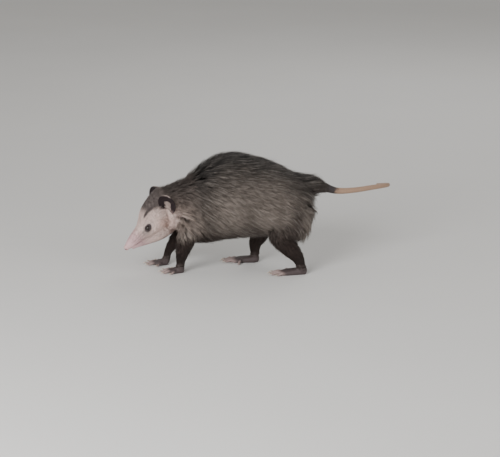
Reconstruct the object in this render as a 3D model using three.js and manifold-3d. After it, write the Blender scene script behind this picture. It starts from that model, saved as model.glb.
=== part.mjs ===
// A Virginia opossum (Didelphis virginiana), life size, walking with its head low.
// Millimetres, +Z up, floor at z = 0. The head points to -X, the animal's left side to -Y.
// Every form is worked out in the animal's own place. The group is then moved so that
// its origin is the middle of the underside of its box.
import * as THREE from "three";
import { mergeVertices } from "three/addons/utils/BufferGeometryUtils.js";
import Module from "manifold-3d";

const wasm = await Module();
wasm.setup();

// Joints between neighbouring nodes
const GAP = 0.3; // the clear space that parts one node from the next
const JOIN_TOLERANCE = 0.004; // edges shorter than this close up when solids are joined
const WELD = 0.002; // vertices nearer than this are one

// The head: its pose, and its sections by distance behind the nose tip
const HEAD_PITCH = 46; // degrees that the muzzle points below the level
const HEAD_YAW = 20; // degrees that the muzzle turns to the animal's left
const HEAD_LENGTH = 120;
const OCCIPUT = [-147, 0, 131]; // where the head's axis ends at the nape
const NOSE_BACK = 6; // the nose pad is parted from the muzzle here
// distance, half width, top, bottom
const CRANIUM = [
  [4, 5.4, 4.4, -6.6],
  [10, 7.4, 6.8, -9.8],
  [18, 9.2, 8.8, -12.8],
  [30, 11.8, 10.8, -17],
  [44, 15, 13, -22],
  [54, 19, 17.8, -26],
  [64, 24, 23.6, -29],
  [76, 29, 27.8, -32],
  [90, 31, 30.2, -34],
  [104, 29.5, 30.6, -33],
  [118, 26.5, 27, -29],
  [130, 20, 21, -22],
];
const JAW = [
  [9, 3.6, -6, -13.4],
  [16, 5.6, -7, -17.6],
  [28, 8.6, -9, -26],
  [42, 12.2, -12, -35],
  [56, 16.6, -15, -42.5],
  [70, 21.4, -14, -47],
  [84, 24, -10, -48],
  [98, 23, -6, -44.5],
];
const SECTION_SQUARENESS = 2.25; // exponent of the head's superellipse sections
const CRANIUM_EGG = 0.1; // how much wider a section is below its middle

// Eyes
const EYE_RADIUS = 5.4;
const EYE = { behindNose: 54.2, aside: 16.6, up: -0.9 };
const EYE_FACING = { forward: 0.28, aside: 0.9, up: 0.34 };
const LID_THICKNESS = 1.1;
const LID_OPENING = { halfLength: 5.1, halfHeight: 3.9 };

// Ears
const EAR_HEIGHT = 38;
const EAR_HALF_WIDTH = 18.2;
const EAR_CUP = 7; // how deep the cup is at its middle
const EAR_THICKNESS = 1.5;
const EAR_RIM_THICKNESS = 0.8;
const EAR_ROOT = { behindNose: 95, aside: 34.5, up: -1 };
const EARS = {
  left: { side: 1, upright: [0.1, -0.36, 1], facing: [-0.4, -0.92, 0.12] },
  right: { side: -1, upright: [0.15, 0.66, 0.8], facing: [-0.6, 0.9, 0.12] },
};

// The body: x, coat top, coat bottom, half width over the coat
const TRUNK = [
  [-126, 164, 54, 43],
  [-112, 174, 47, 50],
  [-90, 191, 44, 56],
  [-66, 208, 47, 62],
  [-38, 216, 53, 66],
  [2, 209, 57, 69],
  [34, 198, 60, 70],
  [62, 185, 63, 68],
  [88, 172, 69, 60],
  [102.5, 161, 79, 46.5],
  [110.5, 150, 90, 32.5],
  [116, 139, 104, 15],
];
const RUMP_FROM = 60; // behind this the core also draws in lengthwise, to close under the tail
const TRUNK_EGG = 0.08;

// The neck: centre x, centre z, half height, half width, across a path that rises to the withers
const NECK = [
  [-168, 109, 32, 25],
  [-154, 111, 41, 33.5],
  [-138, 112.5, 47.5, 40.5],
  [-120, 114, 55.5, 45.5],
  [-98, 118, 58, 48],
  [-80, 124, 56, 46],
];
const HEAD_CUT = { behindNose: 108, tilt: 20 }; // the plane that parts head and neck
const NECK_CUT = { x: -116, lean: 12 }; // the plane that parts neck and torso

// The coat: tables above and below give its outer line, where the locks' tips lie
const CORE_INSET = 9; // the core stays this far inside the tips, half of the coat's depth
const CORE_END = TRUNK[TRUNK.length - 1][0] - CORE_INSET;
const COAT_SEED = 20251;
const LOCK = {
  spacing: 41,
  thickness: 3.8,
  bodyRadius: 60, // the curve that a lock's edges follow
  leastShare: 0.6, // a lock that keeps less of itself than this isn't grown
  mostBend: 0.87, // radians between one stage and the next
  stages: [
    { reach: 0, height: -0.42, width: 0.62, thickness: 0.9 },
    { reach: 0.26, height: 0.02, width: 1, thickness: 1 },
    { reach: 0.56, height: 0.36, width: 0.86, thickness: 0.85 },
    { reach: 0.82, height: 0.7, width: 0.46, thickness: 0.6 },
    { reach: 1, height: 0.95, width: 0, thickness: 0 },
  ],
};
const TRUNK_LOCK = { length: 66, width: 37, rise: 9, jitter: 6, rumpShare: 0.68 };
const NECK_LOCK = { length: 44, width: 30, rise: 8, jitter: 0.1, rumpShare: 1 };
const TRUNK_ROWS = [-106, -74, -41, -8, 25, 55, 79, 99];
const NECK_ROWS = [1, 1.9, 2.8];

// Tail: x, y, z, radius along its length
const TAIL = [
  [96, 0, 146, 14.5],
  [112, 1, 152.5, 12],
  [134, 7, 149, 8.2],
  [158, 20, 140, 5.9],
  [190, 42, 136, 5],
  [224, 70, 134.5, 4.6],
  [250, 98, 132, 4.2],
  [258, 130, 126, 3.6],
  [252, 163, 119, 3],
  [240, 192, 113, 1.7],
];
const TAIL_PARTS = { tail_base: [0, 3.15], tail_mid: [3.15, 6.3], tail_tip: [6.3, 9] };

// Legs: joints as [x, y, z] with radii [fore-aft, across]
const LEGS = {
  fore_left: {
    upper: [
      [-92, -22, 124, 22, 14],
      [-101, -33, 100, 22, 13.5],
      [-111, -40, 77, 17, 13],
      [-115.5, -41, 63, 14, 12.5],
    ],
    lower: [
      [-115.5, -41, 63, 14, 12.5],
      [-121, -39, 43, 11.8, 10.5],
      [-125, -35.5, 22.5, 9.2, 8.5],
      [-127, -33.5, 6, 8, 8.2],
    ],
    foot: { x: -131, y: -32, turn: 8 },
  },
  fore_right: {
    upper: [
      [-90, 22, 124, 22, 14],
      [-102, 31, 100, 22, 13],
      [-116, 34, 78, 17, 12],
      [-124, 33, 64, 13, 11],
    ],
    lower: [
      [-124, 33, 64, 13, 11],
      [-137, 31, 44, 10.5, 9],
      [-150, 27, 23, 8, 7],
      [-155, 25, 6, 7.5, 8],
    ],
    foot: { x: -161, y: 24, turn: -6 },
  },
  hind_left: {
    upper: [
      [84, -22, 124, 28, 18],
      [76, -34, 104, 29, 17],
      [61, -43, 84, 22, 14],
      [54, -46, 69, 16, 13],
    ],
    lower: [
      [54, -46, 69, 16, 13],
      [70, -47, 50, 15, 12],
      [86, -47, 30, 11, 9.5],
      [95, -45, 8, 8, 7.5],
    ],
    foot: { x: 74, y: -44, turn: 6 },
  },
  hind_right: {
    upper: [
      [80, 22, 124, 28, 18],
      [62, 34, 104, 29, 17],
      [38, 43, 88, 22, 14],
      [26, 46, 74, 16, 13],
    ],
    lower: [
      [26, 46, 74, 16, 13],
      [18, 47, 53, 15, 12],
      [10, 47, 32, 11, 9.5],
      [9, 45, 8, 8, 7.5],
    ],
    foot: { x: -12, y: 44, turn: -4 },
  },
};
const KNEE_PART = 0.96; // share of the upper form's path that stays above the joint cut

// Feet, in a frame with +X forward of the toes, worked out from the sole's middle
const FORE_FOOT = {
  ankle: 15,
  sole: [
    [-11, 6.5, 13],
    [-5, 9.5, 13],
    [3, 11.5, 10.5],
    [9, 11.5, 8.5],
    [13, 9.5, 6.5],
  ],
  toeLength: 17,
  toeRadius: 3,
  toeTipRadius: 1.9,
  toes: [
    { x: -1, y: -10, aim: -52, reach: 0.8 },
    { x: 9, y: -7.5, aim: -24, reach: 1 },
    { x: 12, y: -1, aim: -4, reach: 1.08 },
    { x: 10.5, y: 5.5, aim: 16, reach: 1 },
    { x: 4, y: 10, aim: 42, reach: 0.85 },
  ],
};
const HIND_FOOT = {
  ankle: 17,
  sole: [
    [-29, 6.5, 13],
    [-22, 8.5, 14],
    [-8, 10.5, 12],
    [6, 12.5, 10.5],
    [15, 12.5, 8.5],
    [20, 10, 6.5],
  ],
  toeLength: 18,
  toeRadius: 3.2,
  toeTipRadius: 2,
  toes: [
    { x: 4, y: -11, aim: -78, reach: 1.02, bare: true },
    { x: 16, y: -7.5, aim: -14, reach: 1 },
    { x: 19, y: -1.5, aim: -2, reach: 1.08 },
    { x: 18, y: 4.5, aim: 10, reach: 1.02 },
    { x: 13, y: 9.5, aim: 28, reach: 0.85 },
  ],
};
const TOE_SINK = 0.9; // how far the pads go below the floor before they are cut flat
const CLAW_LENGTH = 6.5;
const CLAW_RADIUS = 1.3;

const COLOURS = {
  coat: 0x8a8078,
  face: 0xe6d8cf,
  limb: 0x332b2a,
  nose: 0xd9a3a3,
  ear: 0x2b2526,
  eye: 0x0d0b0b,
  claw: 0xcbbfae,
  tailDark: 0x3d3432,
  tailPale: 0xe0cbb6,
  foot: 0x3a2e2e,
};

// Small helpers

const vec = (x, y, z) => new THREE.Vector3(x, y, z);
const radians = (degrees) => THREE.MathUtils.degToRad(degrees);

// A smooth reading of a short table: row 0 of each entry is the place, the rest are values.
function readAt(table, place) {
  let i = 0;
  while (i < table.length - 2 && place > table[i + 1][0]) i += 1;
  const before = table[Math.max(i - 1, 0)];
  const low = table[i];
  const high = table[i + 1];
  const after = table[Math.min(i + 2, table.length - 1)];
  const span = high[0] - low[0];
  const t = THREE.MathUtils.clamp((place - low[0]) / span, 0, 1);
  return low.slice(1).map((value, k) => {
    const next = high[k + 1];
    const slopeLow = ((next - before[k + 1]) / (high[0] - before[0])) * span;
    const slopeHigh = ((after[k + 1] - value) / (after[0] - low[0])) * span;
    const t2 = t * t;
    const t3 = t2 * t;
    return (
      value * (2 * t3 - 3 * t2 + 1) +
      slopeLow * (t3 - 2 * t2 + t) +
      next * (3 * t2 - 2 * t3) +
      slopeHigh * (t3 - t2)
    );
  });
}

// A closed solid from its points and triangles.
function solidOf(points, triangles) {
  let volume = 0;
  for (const [a, b, c] of triangles) {
    volume += points[a].dot(points[b].clone().cross(points[c]));
  }
  const facing = volume < 0 ? triangles.map(([a, b, c]) => [a, c, b]) : triangles;
  return new wasm.Manifold(
    new wasm.Mesh({
      numProp: 3,
      vertProperties: new Float32Array(points.flatMap((p) => [p.x, p.y, p.z])),
      triVerts: new Uint32Array(facing.flat()),
      tolerance: JOIN_TOLERANCE,
    }),
  );
}

// A closed solid through rings of points, with a fan of triangles over each end.
// The last fan rises to the tip, where one is given.
function loft(rings, tip = null) {
  const sides = rings[0].length;
  const points = rings.flat();
  const triangles = [];
  for (let k = 0; k < rings.length - 1; k += 1) {
    for (let j = 0; j < sides; j += 1) {
      const a = k * sides + j;
      const b = k * sides + ((j + 1) % sides);
      triangles.push([a, b, a + sides], [b, b + sides, a + sides]);
    }
  }
  for (const end of [0, rings.length - 1]) {
    const middle = rings[end].reduce((sum, p) => sum.add(p), vec(0, 0, 0)).divideScalar(sides);
    points.push(end && tip ? tip : middle);
    for (let j = 0; j < sides; j += 1) {
      const a = end * sides + j;
      const b = end * sides + ((j + 1) % sides);
      triangles.push(end ? [a, b, points.length - 1] : [b, a, points.length - 1]);
    }
  }
  return solidOf(points, triangles);
}

// A three.js geometry, placed by a matrix, as a solid.
function solidFromGeometry(geometry, matrix, weld = 1e-4) {
  const bare = geometry.clone().applyMatrix4(matrix);
  bare.deleteAttribute("normal");
  bare.deleteAttribute("uv");
  const merged = mergeVertices(bare, weld);
  const position = merged.getAttribute("position");
  const points = [];
  for (let i = 0; i < position.count; i += 1) {
    points.push(vec(0, 0, 0).fromBufferAttribute(position, i));
  }
  const index = merged.getIndex().array;
  const triangles = [];
  for (let i = 0; i < index.length; i += 3) {
    const [a, b, c] = index.slice(i, i + 3);
    if (a !== b && b !== c && c !== a) triangles.push([a, b, c]);
  }
  return solidOf(points, triangles);
}

function ball(centre, radius, around = 16, down = 11) {
  const geometry = new THREE.SphereGeometry(radius, around, down);
  return solidFromGeometry(geometry, new THREE.Matrix4().setPosition(centre));
}

// A thick slab on the side of a plane that its normal points to.
const SLAB = 900;
function halfSpace(point, normal) {
  const turn = new THREE.Quaternion().setFromUnitVectors(vec(0, 0, 1), normal.clone().normalize());
  const middle = point.clone().addScaledVector(normal.clone().normalize(), SLAB / 2);
  const matrix = new THREE.Matrix4().compose(middle, turn, vec(1, 1, 1));
  return solidFromGeometry(new THREE.BoxGeometry(SLAB, SLAB, SLAB), matrix);
}

const joined = (solids) => solids.reduce((whole, solid) => whole.add(solid));
const largest = (solid) =>
  solid.decompose().reduce((kept, body) => (body.volume() > kept.volume() ? body : kept));
const above = (solid) => solid.subtract(halfSpace(vec(0, 0, 0), vec(0, 0, -1)));

// A point of an egg-shaped superellipse section, by its angle up from the side.
function sectionPoint(angle, { halfWidth, top, bottom, power, egg }) {
  const c = Math.cos(angle);
  const s = Math.sin(angle);
  const aside = Math.sign(c) * Math.abs(c) ** (2 / power) * halfWidth * (1 - egg * s);
  const up = (top + bottom) / 2 + (Math.sign(s) * Math.abs(s) ** (2 / power) * (top - bottom)) / 2;
  return [aside, up];
}

function sectionRing(place, sides, section) {
  const ring = [];
  for (let j = 0; j < sides; j += 1) {
    const angle = (2 * Math.PI * (j + 0.5)) / sides;
    ring.push(place(...sectionPoint(angle, section)));
  }
  return ring;
}

// The same section, larger all round by a distance.
function grown(section, by) {
  const { halfWidth, top, bottom } = section;
  return { ...section, halfWidth: halfWidth + by, top: top + by, bottom: bottom - by };
}

// A limb or tail: a tapering form along a smooth path of [x, y, z, radius, radius across].
function limb(stations, from, to, steps, sides, grow = 0, endGrow = grow) {
  const path = new THREE.CatmullRomCurve3(
    stations.map(([x, y, z]) => vec(x, y, z)),
    false,
    "centripetal",
  );
  const last = stations.length - 1;
  const radii = stations.map((s, i) => [i, s[3], s[4] ?? s[3]]);
  const rings = [];
  for (let k = 0; k <= steps; k += 1) {
    const at = from + ((to - from) * k) / steps;
    const t = at / last;
    const centre = path.getPoint(t);
    const along = path.getTangent(t);
    const [lengthwise, across] = readAt(radii, at);
    if (k === 0) centre.addScaledVector(along, -endGrow);
    if (k === steps) centre.addScaledVector(along, endGrow);
    const side = vec(0, 1, 0).addScaledVector(along, -along.y).normalize();
    const front = side.clone().cross(along).normalize();
    const ring = [];
    for (let j = 0; j < sides; j += 1) {
      const angle = (2 * Math.PI * j) / sides;
      ring.push(
        centre
          .clone()
          .addScaledVector(front, (lengthwise + grow) * Math.cos(angle))
          .addScaledVector(side, (across + grow) * Math.sin(angle)),
      );
    }
    rings.push(ring);
  }
  return loft(rings);
}

// The head's own frame

const yaw = radians(HEAD_YAW);
const pitch = radians(HEAD_PITCH);
const HEAD_FORWARD = vec(
  -Math.cos(pitch) * Math.cos(yaw),
  -Math.cos(pitch) * Math.sin(yaw),
  -Math.sin(pitch),
);
const HEAD_LEFT = vec(Math.sin(yaw), -Math.cos(yaw), 0);
const HEAD_UP = HEAD_FORWARD.clone().cross(HEAD_LEFT);

function onHead(behindNose, left, up) {
  return vec(...OCCIPUT)
    .addScaledVector(HEAD_FORWARD, HEAD_LENGTH - behindNose)
    .addScaledVector(HEAD_LEFT, left)
    .addScaledVector(HEAD_UP, up);
}

function headForm(table, sides, grow, egg) {
  const rings = [];
  const first = table[0][0];
  const last = table[table.length - 1][0];
  const steps = Math.round((last - first) / 6.5);
  for (let k = 0; k <= steps; k += 1) {
    let at = first + ((last - first) * k) / steps;
    const [halfWidth, top, bottom] = readAt(table, at);
    if (k === 0) at -= grow;
    if (k === steps) at += grow;
    const place = (left, up) => onHead(at, left, up);
    const section = { halfWidth, top, bottom, power: SECTION_SQUARENESS, egg };
    rings.push(sectionRing(place, sides, grown(section, grow)));
  }
  return loft(rings);
}

const skull = (grow) => headForm(CRANIUM, 22, grow, CRANIUM_EGG).add(headForm(JAW, 16, grow, 0));

function eyeCentre(side) {
  return onHead(EYE.behindNose, side * EYE.aside, EYE.up);
}

function eyeFrame(side) {
  const out = HEAD_FORWARD.clone()
    .multiplyScalar(EYE_FACING.forward)
    .addScaledVector(HEAD_LEFT, side * EYE_FACING.aside)
    .addScaledVector(HEAD_UP, EYE_FACING.up)
    .normalize();
  const long = HEAD_FORWARD.clone().addScaledVector(HEAD_UP, -0.25);
  long.addScaledVector(out, -long.dot(out)).normalize();
  const tall = out.clone().cross(long).normalize();
  return { out, long, tall };
}

// The almond opening between the lids, as a cutter that widens outwards.
function lidOpening(side) {
  const { out, long, tall } = eyeFrame(side);
  const rings = [0.45, 2.6].map((reach) => {
    const ring = [];
    const sides = 16;
    for (let j = 0; j < sides; j += 1) {
      const angle = (2 * Math.PI * j) / sides;
      const pinch = 1 - 0.25 * Math.cos(angle) ** 4;
      ring.push(
        eyeCentre(side)
          .addScaledVector(out, EYE_RADIUS * reach)
          .addScaledVector(long, LID_OPENING.halfLength * reach * Math.cos(angle))
          .addScaledVector(tall, LID_OPENING.halfHeight * reach * Math.sin(angle) * pinch),
      );
    }
    return ring;
  });
  return loft(rings);
}

// The mouth line: a narrow groove round the muzzle from one corner to the other.
function mouthGroove() {
  const rings = [];
  const steps = 26;
  for (let k = 0; k <= steps; k += 1) {
    const turn = -1 + (2 * k) / steps;
    const back = 7 + 52 * Math.abs(turn) ** 1.3;
    const [halfWidth] = readAt(CRANIUM, Math.max(back, CRANIUM[0][0]));
    const lip = readAt(JAW, Math.max(back, JAW[0][0]))[1];
    const up = lip - 1.2 - 3.5 * Math.abs(turn);
    const side = Math.sign(turn) * Math.min(1, Math.abs(turn) * 5);
    const wide = (halfWidth + 3) * side;
    const narrow = (halfWidth * 0.72 - 1) * side;
    const height = 0.75 * Math.min(1, 12 * (1 - Math.abs(turn)) + 0.15);
    const front = Math.abs(side) < 1 ? 3 * (1 - Math.abs(side)) : 0;
    rings.push([
      onHead(back - front, wide, up + height),
      onHead(back - front, wide, up - height),
      onHead(back + 4, narrow, up - height * 0.3),
      onHead(back + 4, narrow, up + height * 0.3),
    ]);
  }
  return loft(rings);
}

function noseForm(grow) {
  const table = [
    [-3.2, 1.6, 0.2, -2.6],
    [-1.6, 4.2, 2.6, -5],
    [1.4, 5.4, 3.8, -6.2],
    [4, 5.5, 3.9, -6.2],
    [NOSE_BACK, 5.4, 4, -6.4],
  ];
  const rings = table.map(([at, halfWidth, top, bottom], k) => {
    const shift = k === 0 ? -grow : k === table.length - 1 ? grow : 0;
    const place = (left, up) => onHead(at + shift, left, up);
    return sectionRing(place, 12, grown({ halfWidth, top, bottom, power: 2, egg: 0 }, grow));
  });
  return loft(rings);
}

function nostril(side) {
  const rings = [-4, 1.8, 4.2].map((at, k) => {
    const size = [2.2, 1.3, 0.5][k];
    const place = (left, up) => onHead(at + 0.4, side * (2.7 + 0.5 * (1 - k)) + left, up - 1.2);
    return sectionRing(place, 7, { halfWidth: size * 0.8, top: size, bottom: -size, power: 2, egg: 0 });
  });
  return loft(rings);
}

function headNode() {
  let head = skull(0);
  for (const side of [1, -1]) {
    head = head.add(ball(eyeCentre(side), EYE_RADIUS + GAP + LID_THICKNESS, 14, 10));
  }
  for (const side of [1, -1]) {
    head = head.subtract(lidOpening(side));
    head = head.subtract(ball(eyeCentre(side), EYE_RADIUS + GAP, 14, 10));
  }
  head = head.subtract(mouthGroove());
  head = head.subtract(halfSpace(onHead(NOSE_BACK + GAP, 0, 0), HEAD_FORWARD));
  head = head.subtract(halfSpace(headRear.point, headRear.normal));
  return largest(head);
}

function noseNode() {
  return largest(noseForm(0).subtract(nostril(1)).subtract(nostril(-1)));
}

const eyeNode = (side) => ball(eyeCentre(side), EYE_RADIUS, 14, 10);

// One cupped ear: a curved leaf with a front and a back face.
function earForm(ear, grow) {
  const upright = vec(...ear.upright).normalize();
  const facing = vec(...ear.facing);
  facing.addScaledVector(upright, -facing.dot(upright)).normalize();
  const across = upright.clone().cross(facing).normalize();
  const root = onHead(EAR_ROOT.behindNose, ear.side * EAR_ROOT.aside, EAR_ROOT.up);
  const rows = 7;
  const columns = 8;
  const front = [];
  const back = [];
  for (let r = 0; r <= rows; r += 1) {
    const u = r / rows;
    const outline = Math.sin(Math.PI * (0.15 + 0.785 * u)) ** 0.62;
    for (let c = 0; c <= columns; c += 1) {
      const v = -1 + (2 * c) / columns;
      const depth = EAR_CUP * (1 - 0.45 * u) * (1 - v * v) - 2.5 * u * u + 3 * (1 - u) ** 3;
      const lift = EAR_HEIGHT * (u - 0.05 * u * v * v) + grow * (2 * u - 1);
      const thick =
        EAR_RIM_THICKNESS + (EAR_THICKNESS - EAR_RIM_THICKNESS) * (1 - v * v) * (1 - u * u);
      const point = root
        .clone()
        .addScaledVector(upright, lift)
        .addScaledVector(across, (EAR_HALF_WIDTH * outline + grow) * v)
        .addScaledVector(facing, grow - depth);
      front.push(point);
      back.push(point.clone().addScaledVector(facing, -thick - 2 * grow));
    }
  }
  const points = [...front, ...back];
  const offset = front.length;
  const wide = columns + 1;
  const triangles = [];
  for (let r = 0; r < rows; r += 1) {
    for (let c = 0; c < columns; c += 1) {
      const a = r * wide + c;
      triangles.push([a, a + 1, a + wide], [a + 1, a + wide + 1, a + wide]);
      const b = a + offset;
      triangles.push([b, b + wide, b + 1], [b + 1, b + wide, b + wide + 1]);
    }
  }
  const edge = [];
  for (let c = 0; c < columns; c += 1) edge.push(c);
  for (let r = 0; r < rows; r += 1) edge.push(r * wide + columns);
  for (let c = columns; c > 0; c -= 1) edge.push(rows * wide + c);
  for (let r = rows; r > 0; r -= 1) edge.push(r * wide);
  edge.forEach((a, k) => {
    const b = edge[(k + 1) % edge.length];
    triangles.push([a, a + offset, b], [b, a + offset, b + offset]);
  });
  return solidOf(points, triangles);
}

const earNode = (ear) => largest(earForm(ear, 0).subtract(skull(GAP)).subtract(neckForm(GAP)));

// Neck and torso: one core under the coat, parted with its locks by thin cuts.
// Each surface gives a point by its place along the body and its angle up from the side.

const NECK_BY_ORDER = NECK.map((row, i) => [i, ...row]);
const neckCoat = (at) => CORE_INSET * THREE.MathUtils.clamp(0.3 + 0.35 * at, 0.3, 1);

function neckFrame(at) {
  const last = NECK.length - 1;
  const [x, z, halfHeight, halfWidth] = readAt(NECK_BY_ORDER, at);
  const ahead = readAt(NECK_BY_ORDER, Math.min(at + 0.1, last));
  const behind = readAt(NECK_BY_ORDER, Math.max(at - 0.1, 0));
  const along = vec(ahead[0] - behind[0], 0, ahead[1] - behind[1]).normalize();
  const coat = { halfWidth, top: halfHeight, bottom: -halfHeight, power: 2, egg: 0.05 };
  return { centre: vec(x, 0, z), along, up: vec(-along.z, 0, along.x), coat };
}

function neckPlace(at, shift = 0) {
  const { centre, along, up } = neckFrame(at);
  centre.addScaledVector(along, shift);
  return (aside, lift) => centre.clone().add(vec(0, aside, 0)).addScaledVector(up, lift);
}

function neckForm(grow) {
  const last = NECK.length - 1;
  const steps = 11;
  const rings = [];
  for (let k = 0; k <= steps; k += 1) {
    const at = (last * k) / steps;
    const shift = k === 0 ? -grow : k === steps ? grow : 0;
    const section = grown(neckFrame(at).coat, grow - neckCoat(at));
    rings.push(sectionRing(neckPlace(at, shift), 24, section));
  }
  return loft(rings);
}

// The core's section at x. Towards its rear end the coat's depth is measured lengthwise.
function trunkSection(x, grow) {
  const coatEnd = TRUNK[TRUNK.length - 1][0];
  const rear = THREE.MathUtils.clamp((x - RUMP_FROM) / (CORE_END - RUMP_FROM), 0, 1);
  const [top, bottom, halfWidth] = readAt(TRUNK, x + rear * (coatEnd - CORE_END));
  const coat = { halfWidth, top, bottom, power: 2.1, egg: TRUNK_EGG };
  return grown(coat, grow - CORE_INSET * (1 - 0.85 * rear ** 3));
}

function trunkForm(grow) {
  const first = TRUNK[0][0];
  const steps = 17;
  const rings = [];
  for (let k = 0; k <= steps; k += 1) {
    const x = first + (CORE_END - first) * Math.sin((Math.PI / 2) * (k / steps)) ** 0.9;
    const shift = k === 0 ? -grow : k === steps ? grow : 0;
    const place = (aside, up) => vec(x + shift, aside, up);
    rings.push(sectionRing(place, 28, trunkSection(x, grow)));
  }
  return loft(rings);
}

const bodyCore = (grow) => neckForm(grow).add(trunkForm(grow));

const neckSurface = {
  point: (at, angle) => {
    const { coat } = neckFrame(at);
    return neckPlace(at)(...sectionPoint(angle, grown(coat, -neckCoat(at))));
  },
  range: [0.2, NECK.length - 1.05],
  flow: (point, normal) => vec(1, 0, 0.1 - 0.5 * (1 - Math.abs(normal.z))),
};

const trunkSurface = {
  point: (x, angle) => vec(x, ...sectionPoint(angle, trunkSection(x, 0))),
  range: [TRUNK[0][0] + 1, CORE_END - 0.4],
  flow: (point, normal) => {
    const behind = THREE.MathUtils.smoothstep(point.x, 66, 108);
    const rump = behind * THREE.MathUtils.smoothstep(normal.z, -0.6, -0.1);
    return vec(1 - 0.4 * rump, 0, -0.12 - 0.55 * (1 - Math.abs(normal.z)) - 1.3 * rump);
  },
};

// Locks of the coat

// A repeatable stream of numbers from 0 to 1.
function drawsFrom(seed) {
  let state = seed;
  return () => {
    state = (state + 0x6d2b79f5) | 0;
    let t = Math.imul(state ^ (state >>> 15), 1 | state);
    t = (t + Math.imul(t ^ (t >>> 7), 61 | t)) ^ t;
    return ((t ^ (t >>> 14)) >>> 0) / 4294967296;
  };
}

// The surface's point, its normal and its two tangents at one place.
function surfaceFrame(surface, at, angle) {
  const step = 0.01;
  const span = (surface.range[1] - surface.range[0]) * step * 0.2;
  const point = surface.point(at, angle);
  const alongAt = surface.point(at + span, angle).sub(surface.point(at - span, angle));
  const alongAngle = surface.point(at, angle + step).sub(surface.point(at, angle - step));
  alongAt.divideScalar(2 * span);
  alongAngle.divideScalar(2 * step);
  const normal = alongAt.clone().cross(alongAngle).normalize();
  return { point, normal, alongAt, alongAngle };
}

// Whether a lock's middle line goes on smoothly: it neither bunches up nor doubles back.
function runsOn(line, length) {
  for (let k = 1; k < line.length; k += 1) {
    const step = line[k].clone().sub(line[k - 1]);
    const planned = length * (LOCK.stages[k].reach - LOCK.stages[k - 1].reach);
    if (step.length() < 0.55 * planned) return false;
    if (k > 1 && step.angleTo(line[k - 1].clone().sub(line[k - 2])) > LOCK.mostBend) return false;
  }
  return true;
}

// One flat, tapered lock: it starts inside the core, follows the lie and rises to its tip.
// Where the coat's lie runs together there is none.
function lockForm(surface, start, angle, size, turn) {
  let at = start;
  let around = angle;
  let beyond = 0; // how far the lock runs on straight, past the surface's end
  const rings = [];
  const line = [];
  let tip = null;
  LOCK.stages.forEach((stage, k) => {
    const frame = surfaceFrame(surface, at, around);
    const { point, normal, alongAt, alongAngle } = frame;
    const lie = surface.flow(point, normal);
    lie.addScaledVector(normal, -lie.dot(normal)).normalize();
    lie.applyAxisAngle(normal, turn * (0.4 + stage.reach));
    const across = lie.clone().cross(normal).normalize();
    const middle = point.clone().addScaledVector(normal, stage.height * size.rise);
    middle.addScaledVector(lie, beyond);
    line.push(middle);
    if (k === LOCK.stages.length - 1) {
      tip = middle;
      return;
    }
    const half = (size.width * stage.width) / 2;
    const fall = (half * half) / (2 * LOCK.bodyRadius) + 0.6;
    const thick = LOCK.thickness * stage.thickness;
    rings.push([
      middle.clone().addScaledVector(across, half).addScaledVector(normal, -fall),
      middle.clone().addScaledVector(normal, thick / 2),
      middle.clone().addScaledVector(across, -half).addScaledVector(normal, -fall),
      middle.clone().addScaledVector(normal, -thick / 2 - fall * 0.5),
    ]);
    const next = LOCK.stages[k + 1].reach;
    const walks = 4;
    for (let w = 0; w < walks; w += 1) {
      const here = surfaceFrame(surface, at, around);
      const way = surface.flow(here.point, here.normal);
      way.addScaledVector(here.normal, -way.dot(here.normal)).normalize();
      way.applyAxisAngle(here.normal, turn * (0.4 + stage.reach));
      const a = here.alongAt.dot(here.alongAt);
      const b = here.alongAt.dot(here.alongAngle);
      const c = here.alongAngle.dot(here.alongAngle);
      const p = way.dot(here.alongAt);
      const q = way.dot(here.alongAngle);
      const walk = (size.length * (next - stage.reach)) / walks;
      at += (walk * (p * c - q * b)) / (a * c - b * b);
      around += (walk * (a * q - b * p)) / (a * c - b * b);
      const held = THREE.MathUtils.clamp(at, ...surface.range);
      beyond += Math.abs(at - held) * here.alongAt.length();
      at = held;
    }
  });
  return runsOn(line, size.length) ? loft(rings, tip) : null;
}

function girth(surface, at) {
  const sides = 32;
  let sum = 0;
  for (let j = 0; j < sides; j += 1) {
    const here = surface.point(at, (2 * Math.PI * j) / sides);
    sum += here.distanceTo(surface.point(at, (2 * Math.PI * (j + 1)) / sides));
  }
  return sum;
}

// Rows of locks round a surface, each row staggered against the last. A lock that would
// lose much of itself to what stands in its way isn't grown.
function coatOf(surface, rows, spacing, size, obstacles, draw) {
  const locks = [];
  rows.forEach((at, r) => {
    const count = Math.round(girth(surface, at) / spacing);
    for (let j = 0; j < count; j += 1) {
      const angle = (2 * Math.PI * (j + 0.5 * (r % 2) + 0.3 * (draw() - 0.5))) / count;
      const own = {
        length: size.length * (0.9 + 0.3 * draw()) * (at > RUMP_FROM ? size.rumpShare : 1),
        width: size.width * (0.88 + 0.24 * draw()),
        rise: size.rise * (0.8 + 0.25 * draw()),
      };
      const lock = lockForm(surface, at + size.jitter * (draw() - 0.5), angle, own, 0.3 * (draw() - 0.5));
      if (!lock) continue;
      const clear = lock.subtract(obstacles).volume();
      if (clear > LOCK.leastShare * lock.volume()) locks.push(lock);
    }
  });
  return locks;
}

function lockObstacles() {
  const pieces = [skull(GAP), earForm(EARS.left, GAP), earForm(EARS.right, GAP)];
  pieces.push(limb(TAIL, ...TAIL_PARTS.tail_base, 9, 12, GAP));
  for (const leg of Object.values(LEGS)) pieces.push(legForm(leg, GAP));
  return joined(pieces);
}

const headRear = (() => {
  const tilt = radians(HEAD_CUT.tilt);
  const normal = HEAD_FORWARD.clone()
    .multiplyScalar(-Math.cos(tilt))
    .addScaledVector(HEAD_UP, -Math.sin(tilt));
  return { point: onHead(HEAD_CUT.behindNose, 0, 0), normal };
})();

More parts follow.
